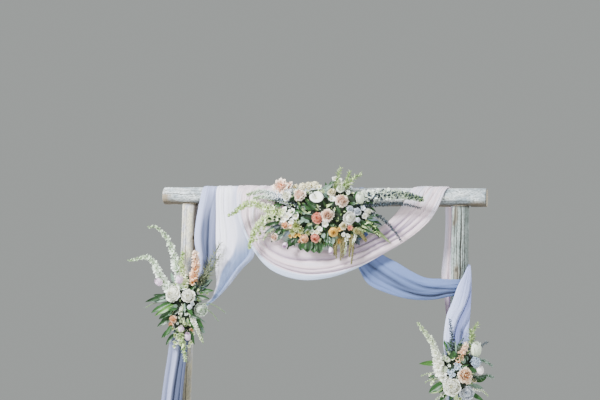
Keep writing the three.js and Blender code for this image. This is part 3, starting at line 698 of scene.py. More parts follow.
BLUSH_SWAG = dict(
    facing=-1,
    rows=230, columns=96, seed=171, across=15, along=5, lean=0.55,
    first=[[560, 62, 2150], [600, 60, 2240], *over_beam(620, 582, 180, 0), [552, -70, 2230],
           [575, -70, 2110], [673, -66, 2046], [800, -62, 2018], [930, -62, 2012], [1060, -64, 2050],
           [1180, -66, 2120], [1290, -68, 2200], [1350, -68, 2272], *over_beam(1392, 1440, 0, SEAM[0])],
    second=[[338, 62, 2080], [326, 60, 2220], *over_beam(320, 318, 180, 0, 2.5), [340, -84, 2210],
            [440, -88, 2010], [560, -88, 1885], [740, -84, 1826], [920, -80, 1840], [1100, -76, 1905],
            [1260, -76, 1995], [1420, -76, 2095], [1545, -72, 2215], *over_beam(1608, 1640, 0, SEAM[0])],
    loft=[(0, 6), (0.1, 3), (0.3, 4), (0.4, 16), (0.48, 25), (0.66, 25), (0.74, 18), (0.84, 6), (1, 3)],
    creases=[([(0, 0.1), (0.5, 0.08), (0.64, 0.1), (0.7, 0.22), (0.756, 0.35), (0.79, 0.33), (0.83, 0.4),
               (0.884, 0.5), (1, 0.5)], [(0.62, 0), (0.68, 0.6), (0.76, 0.7), (0.9, 0.6)], 26, 12),
             ([(0, 0.25), (0.4, 0.42), (0.478, 0.51), (0.516, 0.47), (0.556, 0.41), (0.6, 0.28), (0.64, 0.3),
               (0.675, 0.38), (0.7, 0.45), (0.73, 0.54), (0.76, 0.59), (0.79, 0.58), (0.823, 0.64),
               (0.87, 0.74), (1, 0.75)],
              [(0.3, 0.3), (0.44, 0.5), (0.56, 0.7), (0.6, 0.65), (0.635, 0.35), (0.68, 0.75), (0.76, 0.8),
               (0.9, 0.6)], 38, 13),
             ([(0, 0.45), (0.4, 0.62), (0.48, 0.7), (0.5, 0.68), (0.54, 0.63), (0.6, 0.62), (0.65, 0.6),
               (0.68, 0.6), (0.716, 0.67), (0.735, 0.71), (0.76, 0.78), (0.79, 0.77), (0.82, 0.83),
               (0.88, 0.92), (1, 0.92)],
              [(0.3, 0.3), (0.44, 0.6), (0.5, 0.7), (0.6, 0.6), (0.66, 0.4), (0.72, 0.7), (0.9, 0.6)], 32,
              11),
             ([(0, 0.7), (0.4, 0.84), (0.478, 0.87), (0.504, 0.8), (0.531, 0.75), (0.565, 0.77),
               (0.62, 0.77), (0.66, 0.86), (0.7, 0.97), (0.74, 1.1), (1, 1.1)],
              [(0.3, 0.3), (0.42, 0.7), (0.48, 0.95), (0.62, 0.9), (0.7, 0.6)], 30, 10)],
    tones=[[(0.4, 0.1), (0.7, 0.35), (0.78, 0.3), (0.84, -0.35)],
           [(0.5, 0.12), (0.7, 0.25), (0.78, 0.25), (0.84, -0.35)],
           [(0.5, -0.3), (0.7, 0.05), (0.78, 0.1), (0.84, -0.4)],
           [(0.5, 0), (0.7, 0), (0.78, 0), (0.84, -0.4)],
           [(0.3, 0.1), (0.44, -0.8), (0.62, -1), (0.7, -0.6), (0.84, -0.4)]],
    fine=[(0, 4), (0.1, 4), (0.36, 4.5), (0.46, 3), (0.52, 0.8), (0.62, 0.8), (0.72, 2), (0.84, 4), (1, 4)])
BLUSH_TAIL = dict(
    facing=-1,
    rows=110, columns=52, seed=191, across=9,
    first=[*over_beam(1440, 1598, SEAM[1], 180), [1608, 68, 2260], [1606, 74, 2100], [1592, 76, 1860],
           [1612, 75, 1740], [1628, 74, 1600], [1645, 73, 1450]],
    second=[*over_beam(1640, 1690, SEAM[1], 180), [1696, 66, 2260], [1700, 68, 2100], [1700, 68, 1860],
            [1700, 68, 1740], [1696, 68, 1600], [1690, 68, 1420]],
    loft=[(0, 3), (0.3, 3), (0.45, 9), (1, 11)],
    creases=[([(0, 0.3), (1, 0.34)], [(0, 0.5), (1, 0.8)], 10, 18),
             ([(0, 0.68), (1, 0.66)], [(0, 0.5), (1, 0.8)], 12, 14)],
    tones=[[(0.65, -0.35), (0.72, 0.6)], [(0.65, -0.45), (0.72, 0.5)], -0.05],
    fine=[(0, 4), (0.3, 3), (1, 2)])
BLUE_SWAG = dict(
    facing=-1,
    rows=180, columns=80, seed=211, across=11, along=4, lean=0.55,
    first=[*over_beam(1110, 1120, 60, 180), [1122, 58, 2250], [1140, 30, 2130], [1185, 0, 2035],
           [1251, -16, 1987], [1335, -30, 1945], [1425, -42, 1893], [1515, -52, 1855], [1607, -58, 1850],
           [1690, -60, 1848], [1746, -50, 1850]],
    second=[*over_beam(950, 960, 60, 180), [975, 58, 2250], [1010, 34, 2120], [1060, 6, 1990],
            [1105, -12, 1888], [1160, -26, 1812], [1280, -40, 1758], [1430, -52, 1723], [1560, -60, 1724],
            [1650, -62, 1742], [1738, -55, 1765]],
    loft=[(0, 3), (0.3, 4), (0.45, 18), (0.8, 19), (0.92, 12), (1, 3)],
    creases=[([(0, 0.2), (0.5, 0.22), (0.65, 0.26), (0.756, 0.31), (0.8, 0.36), (0.826, 0.42), (0.865, 0.46),
               (0.9, 0.48), (0.96, 0.6), (1, 0.6)],
              [(0.4, 0.4), (0.65, 0.2), (0.75, 0.6), (0.8, 0.9), (1, 0.9)], 34, 12),
             ([(0, 0.5), (0.5, 0.6), (0.573, 0.56), (0.615, 0.48), (0.692, 0.49), (0.737, 0.56),
               (0.774, 0.57), (0.83, 0.62), (0.9, 0.65), (1, 0.72)],
              [(0.3, 0.4), (0.55, 0.55), (0.7, 0.85), (0.78, 0.5), (0.86, 0.2), (1, 0.2)], 38, 14),
             ([(0, 0.75), (0.5, 0.8), (0.65, 0.67), (0.752, 0.71), (0.8, 0.77), (0.836, 0.83), (0.863, 0.85),
               (0.898, 0.8), (0.92, 0.77), (0.96, 0.84), (1, 0.86)],
              [(0.6, 0.1), (0.72, 0.4), (0.79, 1), (0.97, 1)], 36, 9),
             ([(0, 0.9), (0.5, 1), (0.561, 0.93), (0.618, 0.87), (0.711, 0.86), (0.78, 0.96), (0.9, 1.1),
               (1, 1.1)], [(0.45, 0.6), (0.6, 0.6), (0.7, 0.3), (0.75, 0)], 26, 12)],
    tones=[-0.2, [(0.5, 0), (0.8, 0.15)], [(0.5, 0.15), (0.8, 0.35)], [(0.6, -0.1), (0.85, 0.25)],
           [(0.7, -0.1), (0.85, 0.3)]],
    fine=[(0, 4), (0.3, 4), (0.5, 1.5), (0.8, 1.2), (0.9, 2.5), (1, 3)])
LILAC_WRAP = dict(
    facing=1, rows=190, columns=80, seed=231, across=9,
    first=[[1763, -13, 1942], [1744, -56, 1880], [1712, -74, 1812], [1676, -77, 1705], [1650, -76, 1640],
           [1637, -74, 1560], [1632, -72, 1450], [1650, -72, 1300], [1655, -72, 1150], [1650, -72, 800],
           [1645, -72, 400], [1640, -74, HEM_HEIGHT]],
    second=[[1776, -10, 1938], [1784, -44, 1892], [1790, -66, 1812], [1790, -72, 1705], [1787, -73, 1640],
            [1782, -72, 1560], [1786, -72, 1450], [1775, -72, 1300], [1785, -72, 1150], [1815, -71, 800],
            [1845, -69, 400], [1875, -67, HEM_HEIGHT]],
    loft=[(0, 1), (0.12, 6), (0.22, 15), (0.6, 24), (1, 26)],
    creases=[([(0, 0.1), (0.5, 0.12), (0.7, 0.16), (1, 0.14)], [(0.45, 0), (0.6, 0.6), (1, 0.8)], 16, 20),
             ([(0, 1.1), (0.15, 1.02), (0.213, 0.93), (0.246, 0.82), (0.298, 0.72), (0.348, 0.64),
               (0.398, 0.54), (0.449, 0.48), (0.489, 0.4), (0.6, 0.36), (1, 0.38)],
              [(0.15, 0.3), (0.22, 0.85), (0.5, 0.9), (1, 0.8)], 16, 70),
             ([(0, 1.2), (0.35, 1.1), (0.409, 0.98), (0.451, 0.86), (0.484, 0.74), (0.55, 0.64), (1, 0.66)],
              [(0.38, 0.3), (0.45, 0.6), (1, 0.8)], 60, 18),
             ([(0, 1.3), (0.5, 1.1), (0.65, 0.86), (1, 0.86)], [(0.5, 0), (0.65, 0.6), (1, 0.8)], 16, 20)],
    tones=[[(0.3, -0.3), (0.45, -0.7)], [(0.16, 0.3), (0.3, -0.25), (0.6, -0.4)],
           [(0.3, 0.45), (0.55, 0.4), (1, 0.1)], 0, -0.2],
    fine=[(0, 1), (0.15, 2), (1, 1.5)])


class ARCH_OT_left_cloths(bpy.types.Operator):
    """Makes the three lengths of chiffon at the left post"""

    bl_idname = "arch.left_cloths"
    bl_label = "Left cloths"

    def execute(self, context):
        colours = context.scene.arch_colours
        lavender = chiffon("Pale lavender chiffon", linear("#CFD7F4"), colours.lavender,
                           linear("#535B78"), 0.1)
        white = chiffon("White chiffon", linear("#F9F7FF"), colours.white, linear("#8A9ABF"),
                        0.06)
        cloth_piece("lavender_chiffon_fall", LAVENDER_FALL, lavender, "lavender_chiffon",
                    "lavender_beam_fall")
        cloth_piece("white_chiffon_curtain", WHITE_CURTAIN, white, "white_chiffon",
                    "white_tied_curtain")
        cloth_piece("lavender_chiffon_drape", LAVENDER_DRAPE, lavender, "lavender_chiffon",
                    "left_post_drape")
        return {"FINISHED"}


class ARCH_OT_swags(bpy.types.Operator):
    """Makes the blush and blue swags and the blush tail behind the right post"""

    bl_idname = "arch.swags"
    bl_label = "Swags"

    def execute(self, context):
        colours = context.scene.arch_colours
        blush = chiffon("Blush chiffon", linear("#D3DDF2"), colours.blush, linear("#9A86A4"),
                        0.06)
        blue = chiffon("Dusty blue chiffon", linear("#8699C8"), colours.dusty_blue,
                       linear("#3C445E"), 0.1)
        cloth_piece("blush_chiffon_swag", BLUSH_SWAG, blush, "blush_chiffon",
                    "blush_swag")
        cloth_piece("blush_chiffon_tail", BLUSH_TAIL, blush, "blush_chiffon",
                    "blush_back_tail")
        cloth_piece("dusty_blue_chiffon_swag", BLUE_SWAG, blue, "dusty_blue_chiffon",
                    "blue_swag")
        return {"FINISHED"}


class ARCH_OT_right_cloth(bpy.types.Operator):
    """Makes the chiffon wrapped down the right post"""

    bl_idname = "arch.right_cloth"
    bl_label = "Right cloth"

    def execute(self, context):
        pale = chiffon("Pale lilac-white chiffon", linear("#E5EAFE"), linear("#C3CCF5"),
                       linear("#8088BA"), 0.06)
        cloth_piece("lilac_white_chiffon_wrap", LILAC_WRAP, pale, "white_chiffon",
                    "right_post_drape")
        return {"FINISHED"}


def geometry_tree(name, inputs):
    """A Geometry Nodes tree with one geometry in and out and these named inputs, each a
    (name, socket kind, default), the function that adds its nodes, and the sockets that they
    read the inputs from."""
    tree = bpy.data.node_groups.new(name, "GeometryNodeTree")
    for label, kind, default in (("Geometry", "Geometry", None), *inputs):
        socket = tree.interface.new_socket(label, in_out="INPUT", socket_type="NodeSocket" + kind)
        if default is not None:
            socket.default_value = default
    tree.interface.new_socket("Geometry", in_out="OUTPUT", socket_type="NodeSocketGeometry")
    add = partial(node, tree)
    return tree, add, add("NodeGroupInput").outputs


def random_number(add, low, high, seed, salt):
    """A random number from low to high for each element, from the tree's seed."""
    own_seed = add("Math", {0: seed, 1: float(salt)}, operation="ADD")
    return add("RandomValue", {2: low, 3: high, "Seed": own_seed}, data_type="FLOAT")


def turned(add, rotation, axis, angle):
    """A rotation turned about its own axis."""
    step = add("AxisAngleToRotation", {"Axis": axis, "Angle": angle})
    return add("RotateRotation", {"Rotation": rotation, "Rotate By": step}, rotation_space="LOCAL")


def tinted_copies(add, points, shape, rotation, size, seed, material):
    """Copies of an object's shape on points as one mesh, each with a tint of its own."""
    shape = add("ObjectInfo", {"Object": shape}).outputs["Geometry"]
    copies = add("InstanceOnPoints",
                 {"Points": points, "Instance": shape, "Rotation": rotation, "Scale": size})
    tint = random_number(add, 0.0, 1.0, seed, 4)
    tinted = add("StoreNamedAttribute", {"Geometry": copies, "Name": "tint", "Value": tint},
                 data_type="FLOAT", domain="INSTANCE")
    real = add("RealizeInstances", {"Geometry": tinted})
    return add("SetMaterial", {"Geometry": real, "Material": material})


def scatter_tree():
    """Copies of a small shape all over a surface. Each lies outwards from the middle and
    leans up off the surface."""
    tree, add, given = geometry_tree("Scatter over a surface", (
        ("Shape", "Object", None), ("Per square metre", "Float", 1000.0),
        ("Smallest", "Float", 0.6), ("Largest", "Float", 1.0), ("Least lean", "Float", 0.1),
        ("Most lean", "Float", 1.0), ("Twist", "Float", 0.9), ("Middle", "Vector", (0, 0, 0)),
        ("Seed", "Int", 1), ("Material", "Material", None)))
    seed, twist = given["Seed"], given["Twist"]
    spread = add("DistributePointsOnFaces", {"Mesh": given["Geometry"], "Seed": seed,
                                             "Density": given["Per square metre"]},
                 distribute_method="RANDOM").outputs
    away = add("VectorMath", {0: add("InputPosition"), 1: given["Middle"]}, operation="SUBTRACT")
    facing = add("AlignRotationToVector", {"Rotation": spread["Rotation"], "Vector": away},
                 axis="Y", pivot_axis="Z")
    least = add("Math", {0: twist, 1: -1.0}, operation="MULTIPLY")
    twisted = turned(add, facing, (0, 0, 1), random_number(add, least, twist, seed, 1))
    lean = random_number(add, given["Least lean"], given["Most lean"], seed, 2)
    size = random_number(add, given["Smallest"], given["Largest"], seed, 3)
    copies = tinted_copies(add, spread["Points"], given["Shape"],
                           turned(add, twisted, (1, 0, 0), lean), size, seed, given["Material"])
    add("NodeGroupOutput", {0: copies})
    return tree


def spike_tree():
    """Florets in a spiral up a stem, which thins to its tip. The stem's line goes in."""
    tree, add, given = geometry_tree("Flower spike", (
        ("Floret", "Object", None), ("Florets", "Int", 60), ("Root size", "Float", 1.0),
        ("Tip size", "Float", 0.35), ("Spread", "Float", 1.1), ("Stem radius", "Float", 0.0022),
        ("Seed", "Int", 1), ("Petals", "Material", None), ("Green", "Material", None)))
    seed = given["Seed"]
    line = add("MeshToCurve", {"Mesh": given["Geometry"]})
    stations = add("ResampleCurve", {"Curve": line, "Count": given["Florets"]})
    share = add("SplineParameter")
    stations = add("StoreNamedAttribute",
                   {"Geometry": stations, "Name": "near_tip", "Value": share},
                   data_type="FLOAT", domain="POINT")
    upright = add("AlignRotationToVector", {"Vector": add("InputTangent")}, axis="Z")
    spiral = add("Math", {0: add("InputIndex"), 1: GOLDEN_ANGLE}, operation="MULTIPLY")
    spiral = add("Math", {0: spiral, 1: random_number(add, 0.0, 0.7, seed, 1)}, operation="ADD")
    lean = add("Math", {0: given["Spread"], 1: random_number(add, -0.25, 0.25, seed, 2)},
               operation="ADD")
    outwards = turned(add, turned(add, upright, (0, 0, 1), spiral), (1, 0, 0), lean)
    size = add("MapRange",
               {"Value": share, "To Min": given["Root size"], "To Max": given["Tip size"]})
    size = add("Math", {0: size, 1: random_number(add, 0.82, 1.18, seed, 3)},
               operation="MULTIPLY")
    florets = tinted_copies(add, stations, given["Floret"], outwards, size, seed, given["Petals"])
    thinning = add("MapRange", {"Value": share, "To Min": 1.0, "To Max": 0.4})
    thinned = add("SetCurveRadius", {"Curve": stations, "Radius": thinning})
    ring = add("CurvePrimitiveCircle", {"Resolution": 6, "Radius": given["Stem radius"]})
    stem = add("CurveToMesh", {"Curve": thinned, "Profile Curve": ring, "Fill Caps": True})
    stem = add("SetMaterial", {"Geometry": stem, "Material": given["Green"]})
    joined = add("JoinGeometry", {0: florets})
    tree.links.new(stem.outputs[0], joined.inputs[0])
    add("NodeGroupOutput", {0: joined})
    return tree


def grown(tree, source, inputs):
    """The plain mesh that a tree makes of a source object with these named inputs."""
    modifier = source.modifiers.new("Growth", "NODES")
    modifier.node_group = tree
    for item in tree.interface.items_tree:
        if item.item_type == "SOCKET" and item.in_out == "INPUT" and item.name in inputs:
            modifier[item.identifier] = inputs[item.name]
    graph = bpy.context.evaluated_depsgraph_get()
    mesh = bpy.data.meshes.new_from_object(
        source.evaluated_get(graph), preserve_all_data_layers=True, depsgraph=graph)
    source.modifiers.remove(modifier)
    mesh.shade_smooth()
    return mesh


def joined_piece(name, meshes):
    """Several plain meshes as one object, each with its own materials."""
    parts = [linked_object(name, mesh) for mesh in meshes]
    with bpy.context.temp_override(active_object=parts[0], selected_editable_objects=parts):
        bpy.ops.object.join()
    parts[0].name = name
    return parts[0]


class Patches:
    """Gathers patches of points, each with its shade, tint and material, into one mesh."""

    def __init__(self):
        self.points, self.faces, self.shade, self.tint, self.slots = [], [], [], [], []
        self.count = 0

    def add(self, points, shade, tint, slot=0):
        """One grid of points."""
        faces = grid_faces(*points.shape[:2], first=self.count)
        self.faces += faces
        self.slots += [slot] * len(faces)
        flat = points.reshape(-1, 3)
        self.points.append(flat)
        self.shade.append(np.broadcast_to(shade, points.shape[:-1]).ravel())
        self.tint.append(np.full(len(flat), tint))
        self.count += len(flat)

    def place(self, matrix, first=0):
        """Moves the patches from the first one given."""
        turn, shift = np.array(matrix)[:3, :3], np.array(matrix)[:3, 3]
        for i in range(first, len(self.points)):
            self.points[i] = self.points[i] @ turn.T + shift

    def mesh(self, name, materials):
        return mesh_object(name, np.vstack(self.points), self.faces, materials,
                           slots=self.slots, shade=np.concatenate(self.shade),
                           tint=np.concatenate(self.tint))


def bezier(controls, s):
    a, b, c, d = (np.asarray(p, float) for p in controls)
    s = s[..., None]
    return ((1 - s) ** 3 * a + 3 * s * (1 - s) ** 2 * b + 3 * s * s * (1 - s) * c + s**3 * d)


def petal(patches, rng, turn, half_width, belly, shoulder, tip, ruffle, grid, pointed=0.0,
          shade=(0, 1), tint=None):
    """Adds a petal to a bloom of radius 1 that faces +Z. Its line runs from the root through
    belly and shoulder to its tip, each a (reach, height), and shade is the one at its root
    and how much it grows to its tip."""
    s = np.linspace(0, 1, grid[0])
    c = np.linspace(-1, 1, grid[1])[None, :]
    line = bezier([(0.03, -0.8), belly, shoulder, tip], s)
    reach, height = line[:, :1], line[:, 1:]
    s = s[:, None]
    width = half_width * np.sin(np.pi * (0.1 + (0.78 + 0.115 * pointed) * s)) ** 0.65
    phase = rng.uniform(0, 6.28)
    wave = ruffle * s**3 * (np.sin(5 * c + phase) + 0.6 * np.sin(9 * c - 2 * phase))
    reach = reach * (1 + 0.05 * c) + wave
    height = height - 0.16 * (c**2) * s**2 + 0.7 * wave
    angle = turn + width * c
    points = np.stack([reach * np.cos(angle), reach * np.sin(angle), height + 0 * c], -1)
    patches.add(points, shade[0] + shade[1] * s, rng.uniform() if tint is None else tint)


def dome(patches, radius, low, high, shade):
    """A small dome in the middle of a bloom, of stamens or of petals still closed."""
    turn = np.linspace(0, 2 * np.pi, 9)[None, :]
    s = np.linspace(0, 1, 4)[:, None]
    reach = radius * np.cos(0.5 * np.pi * s)
    height = low + (high - low) * np.sin(0.5 * np.pi * s) + 0 * turn
    patches.add(np.stack([reach * np.cos(turn), reach * np.sin(turn), height], -1), shade, 0.5)


def rose(patches, rng, grid):
    """A garden rose: spiralled layers, tight in the middle, the outer petals curled back."""
    turn = rng.uniform(0, 6.28)
    dome(patches, 0.12, 0.2, 0.5, 0.25)
    for layer in range(8):
        o = 0.1 + 0.9 * (layer / 7) ** 0.9
        petals = 3 + min(layer, 3)
        for k in range(petals):
            turn += 2 * np.pi / petals + rng.uniform(-0.12, 0.12)
            jitter = rng.uniform(0.88, 1.08)
            tip = (0.05 + (0.52 + 0.42 * o**2) * o * jitter, 0.66 - 0.6 * o**2 * jitter)
            petal(patches, rng, turn, 1.4 - 0.55 * o, (0.28 + 0.62 * o, -0.62),
                  (0.08 + 0.84 * o, 0.55 - 0.12 * o**2), tip, 0.014 + 0.03 * o, grid, 0.45 * o,
                  (0, 0.3 + 0.7 * o))
        turn += 0.5


def carnation(patches, rng, grid):
    """A carnation or peony: crowded, frilled petals that make an uneven ball."""
    for layer in range(6):
        o = 0.12 + 0.88 * (layer / 5) ** 0.8
        petals = 5 + layer
        for k in range(petals):
            turn = 2 * np.pi * (k + rng.uniform(-0.4, 0.4)) / petals + layer
            lift = rng.uniform(-0.16, 0.2)
            out = rng.uniform(0.86, 1.08)
            petal(patches, rng, turn, 1.15 - 0.65 * o, (0.18 + 0.5 * o, -0.6),
                  (0.15 + 0.6 * o, 0.3 + lift), (0.06 + 0.88 * o * out, 0.78 - 0.95 * o * o + lift),
                  0.075, grid, shade=(0, 0.3 + 0.7 * o))


def ranunculus(patches, rng, grid):
    """A ranunculus: many thin petals closed round each other like an onion."""
    turn = 0
    dome(patches, 0.14, 0.2, 0.5, 0.0)
    for layer in range(8):
        o = 0.08 + 0.92 * layer / 7
        for k in range(4 + layer // 3):
            turn += GOLDEN_ANGLE
            petal(patches, rng, turn, 1.3 - 0.5 * o, (0.25 + 0.8 * o, -0.6),
                  (0.06 + 0.98 * o, 0.5), (0.04 + 0.66 * o, 0.66 - 0.3 * o * o), 0.012, grid,
                  shade=(0, 0.3 + 0.7 * o))


def cup(patches, rng, grid):
    """A tulip or lisianthus: smooth tall petals in three rings, open a little at the top."""
    for layer, o in enumerate((0.6, 0.78, 0.92)):
        for k in range(3):
            petal(patches, rng, 2 * np.pi * k / 3 + layer, 1.05, (0.25 + 0.8 * o, -0.75),
                  (o, 0.5), (0.2 + 0.5 * o, 1.2 - 0.1 * layer), 0.01, (7, 7), 0.1)


def open_bloom(patches, rng, grid):
    """A small flat bloom of open petals round a dot of stamens."""
    dome(patches, 0.2, -0.05, 0.16, 0.0)
    for k in range(6):
        petal(patches, rng, 2 * np.pi * (k + rng.uniform(-0.15, 0.15)) / 6, 0.62, (0.35, -0.35),
              (0.7, 0.1), (rng.uniform(0.85, 1.05), rng.uniform(-0.1, 0.3)), 0.035, (5, 5),
              shade=(0.25, 0.75))


def star(patches, rng, grid, petals=9, layers=4, width=0.5):
    """Pointed petals in open layers, like a small dahlia."""
    dome(patches, 0.13, -0.1, 0.3, 0.0)
    for layer in range(layers):
        o = (layer + 1) / layers
        for k in range(petals):
            turn = 2 * np.pi * (k + rng.uniform(-0.2, 0.2)) / petals + 0.7 * layer
            tip = (0.25 + 0.8 * o * rng.uniform(0.82, 1.08),
                   0.62 - 0.6 * o + rng.uniform(-0.08, 0.14))
            petal(patches, rng, turn, width * (1.3 - 0.4 * o), (0.15 + 0.3 * o, -0.5),
                  (0.2 + 0.55 * o, 0.35 - 0.1 * o), tip, 0.01, (6, 5), 1.0,
                  (0, 0.35 + 0.65 * o))


def tuft(patches, rng, grid):
    """A spiky flower head of narrow petals that stand up."""
    star(patches, rng, grid, 12, 3, 0.17)


def spray_star(patches, rng, grid):
    """A few long pointed petals."""
    star(patches, rng, grid, 7, 2, 0.5)


def hydrangea(patches, rng, grid):
    """A dome of small florets of four petals."""
    for i in range(22):
        height = 1 - 0.95 * (i + 0.5) / 22
        reach = math.sqrt(1 - height**2)
        out = Vector((reach * math.cos(i * GOLDEN_ANGLE), reach * math.sin(i * GOLDEN_ANGLE),
                      height))
        first, tint = len(patches.points), rng.uniform()
        for k in range(4):
            petal(patches, rng, k * np.pi / 2, 0.72, (0.35, -0.1), (0.75, 0.1),
                  (1.0, rng.uniform(-0.1, 0.35)), 0.04, (4, 4), tint=tint)
        patches.place(Matrix.Translation(out * rng.uniform(0.58, 0.8))
                      @ out.to_track_quat("Z", "Y").to_matrix().to_4x4()
                      @ Matrix.Rotation(rng.uniform(0, 6.28), 4, "Z")
                      @ Matrix.Scale(rng.uniform(0.34, 0.46), 4), first)


def calla(patches, rng, grid):
    """A calla lily: one smooth heart-shaped petal rolled round its spadix."""
    s = np.linspace(0, 1, 12)[:, None]
    turn = np.linspace(-0.96 * np.pi, 0.96 * np.pi, 29)[None, :]
    point = ((1 + np.cos(turn)) / 2) ** 2
    notch = np.exp(-((np.pi - np.abs(turn)) / 0.5) ** 2)
    reach = (0.05 + 0.95 * s**1.2) * (0.92 + 0.3 * point**2 - 0.22 * notch)
    height = -0.5 + 1.1 * s - 0.5 * s**4 + 0.12 * point * s
    patches.add(np.stack([reach * np.cos(turn), reach * np.sin(turn), height], -1),
                0.35 + 0.65 * s + 0 * turn, 0.8)
    dome(patches, 0.08, -0.5, 0.0, 0.3)


KINDS = {"rose": rose, "carnation": carnation, "ranunculus": ranunculus, "cup": cup,
         "open": open_bloom, "star": star, "tuft": tuft, "spray star": spray_star,
         "hydrangea": hydrangea, "calla": calla}


def mound_filled(mound, x, z):
    """0 in the middle of a mound and 1 at its rim, seen from the front."""
    (cx, cz), (hx, _, hz), power = mound["centre"], mound["half"], mound["roundness"]
    return abs((x - cx) / hx) ** power + abs((z - cz) / hz) ** power


def mound_front(mound, x, z):
    """How far in front of the mound's back its surface stands at this place."""
    return mound["half"][1] * max(0.0, 1 - mound_filled(mound, x, z)) ** (1 / mound["roundness"])


def cloth_front(mound, x, z):
    """How far the cloth stands in front of the mound's back at this place."""
    low = 1 - smoothstep(z, *mound["cloth_below"])
    left = 1 - smoothstep(x, *mound.get("cloth_left_of", (-9000, -8000)))
    return mound["cloth_depth"] * np.maximum(low, left)


def bloom_place(mound, x, z, radius, forward=0):
    """A bloom's middle, sunk into its mound but clear of the cloth behind."""
    depth = 0.85 * radius
    seated = mound_front(mound, x, z) + depth * 0.3
    clear = cloth_front(mound, x, z) + depth * 0.95
    return (x, MOUND_BACK - max(seated, clear) - forward, z)


def stalk(patches, mound, place):
    """A thin stem from inside the mound to the back of a bloom that stands off it."""
    (cx, cz), (x, y, z) = mound["centre"], place
    pull = 0.72 / mound_filled(mound, x, z) ** (1 / mound["roundness"])
    start = [cx + (x - cx) * pull, MOUND_BACK - 22, cz + (z - cz) * pull]
    line = spline([start, [(start[0] + x) / 2, MOUND_BACK - 20, (start[2] + z) / 2 - 6],
                   [x, y + 6, z]], np.linspace(0, 1, 6))
    turn = np.linspace(0, 2 * np.pi, 6)
    ring = np.stack([np.cos(turn), np.sin(turn)], -1) * STALK_RADIUS
    along = unit(np.gradient(line, axis=0))
    side = unit(np.cross(along, [0.0, 1.0, 0.0]))
    other = np.cross(along, side)
    points = (line[:, None, :] + side[:, None, :] * ring[None, :, :1]
              + other[:, None, :] * ring[None, :, 1:])
    patches.add(mm(points), 0.5, 0.4, slot=1)


def add_bloom(patches, kind, mound, seed, x, z, radius, face=None, spin=None, stretch=1.0,
              forward=0):
    """One bloom on a mound, which looks out from the mound's middle, or along face."""
    rng = np.random.default_rng(seed)
    first = len(patches.points)
    KINDS[kind](patches, rng, (6, 7) if radius > 30 else (4, 5))
    (cx, cz), (hx, _, hz) = mound["centre"], mound["half"]
    out = Vector(face or (0.75 * (x - cx) / hx, -1.0, 0.6 * (z - cz) / hz + 0.1)).normalized()
    place = bloom_place(mound, x, z, radius, forward)
    turn = rng.uniform(0, 6.28) if spin is None else math.radians(spin)
    matrix = (Matrix.Translation(Vector(mm(place)))
              @ out.to_track_quat("Z", "Y").to_matrix().to_4x4()
              @ Matrix.Rotation(turn, 4, "Z") @ Matrix.Scale(radius / 1000, 4)
              @ Matrix.Diagonal((1, 1, stretch, 1)))
    patches.place(matrix, first)
    if mound_filled(mound, x, z) > 0.7:
        stalk(patches, mound, place)


def leaf_points(length, width, fold, bend, blunt, rows):
    """A leaf from the origin along +Y, its face up, folded on its midrib and bent back, and
    how far each of its points is from the midrib."""
    s = np.linspace(0, 1, rows)[:, None]
    c = np.array([-1, -0.5, 0, 0.5, 1])[None, :]
    outline = (np.sin(np.pi * np.clip(s, 0, 1) ** (0.8 + 0.5 * blunt)) ** (0.85 - 0.3 * blunt)
               * (1 - 0.25 * s) + 0.05)
    x = width / 2 * outline * c
    y = length * s + 0 * c
    z = fold * width * np.abs(c) * outline - bend * length * s**2 + 0.04 * length * np.sin(
        3 * np.pi * s) * c**2
    return np.stack([x, y, z], -1), np.abs(c) + 0 * s


def chosen_leaves(name, mound, skins, rows, seed):
    """The leaves that show between the blooms as one piece. Each row is a skin and its leaves,
    each (x and z of its root, length, width, the degrees it is aimed from +X towards +Z, how
    blunt it is)."""
    rng = np.random.default_rng(seed)
    patches = Patches()
    kinds = sorted({row[0] for row in rows})
    leaves = [(row[0], *leaf) for row in rows for leaf in row[1:]]
    for skin, x, z, length, width, aim, blunt in leaves:
        turn = math.radians(aim)
        along = Vector((math.cos(turn), -rng.uniform(0.1, 0.3), math.sin(turn))).normalized()
        side = along.cross(Vector((rng.uniform(-0.3, 0.3), -1, rng.uniform(0, 0.4)))).normalized()
        depth = max(LEAST_DEPTH + cloth_front(mound, x, z), 0.96 * mound_front(mound, x, z))
        matrix = Matrix((side, along, side.cross(along))).transposed().to_4x4()
        matrix.translation = Vector(mm((x, MOUND_BACK - depth, z)))
        points, away = leaf_points(length / 1000, width / 1000, 0.22, rng.uniform(0.05, 0.25),
                                   blunt, 9)
        patches.add(points, away, rng.uniform(0.2, 0.8), kinds.index(skin))
        patches.place(matrix, len(patches.points) - 1)
    finish_piece(patches.mesh(name, [skins[kind] for kind in kinds]), "foliage")


def hidden_shape(name, points, faces, shade, material):
    """A small shape for a tree to copy, which is removed before the arch is finished."""
    return mesh_object(name, np.asarray(points, float).reshape(-1, 3), faces, [material],
                       shade=np.asarray(shade, float).ravel())


def leaf_shape(name, material, *sizes):
    """A leaf for a tree to copy."""
    points, away = leaf_points(*sizes)
    return hidden_shape(name, points, grid_faces(*points.shape[:2]), away, material)


def lipped_floret(material):
    """A snapdragon or stock floret 15 mm long: a throat that opens into five frilled lobes."""
    patches = Patches()
    rng = np.random.default_rng(5)
    for k in range(5):
        petal(patches, rng, 2 * np.pi * k / 5, 0.68, (0.3, -0.4), (0.55, 0.25), (0.95, 0.4), 0.05,
              (4, 4), tint=0.5)
    patches.place(Matrix.Translation((0, 0, 0.008)) @ Matrix.Scale(0.0105, 4))
    return hidden_shape("lipped_floret", np.vstack(patches.points), patches.faces,
                        np.concatenate(patches.shade), material)


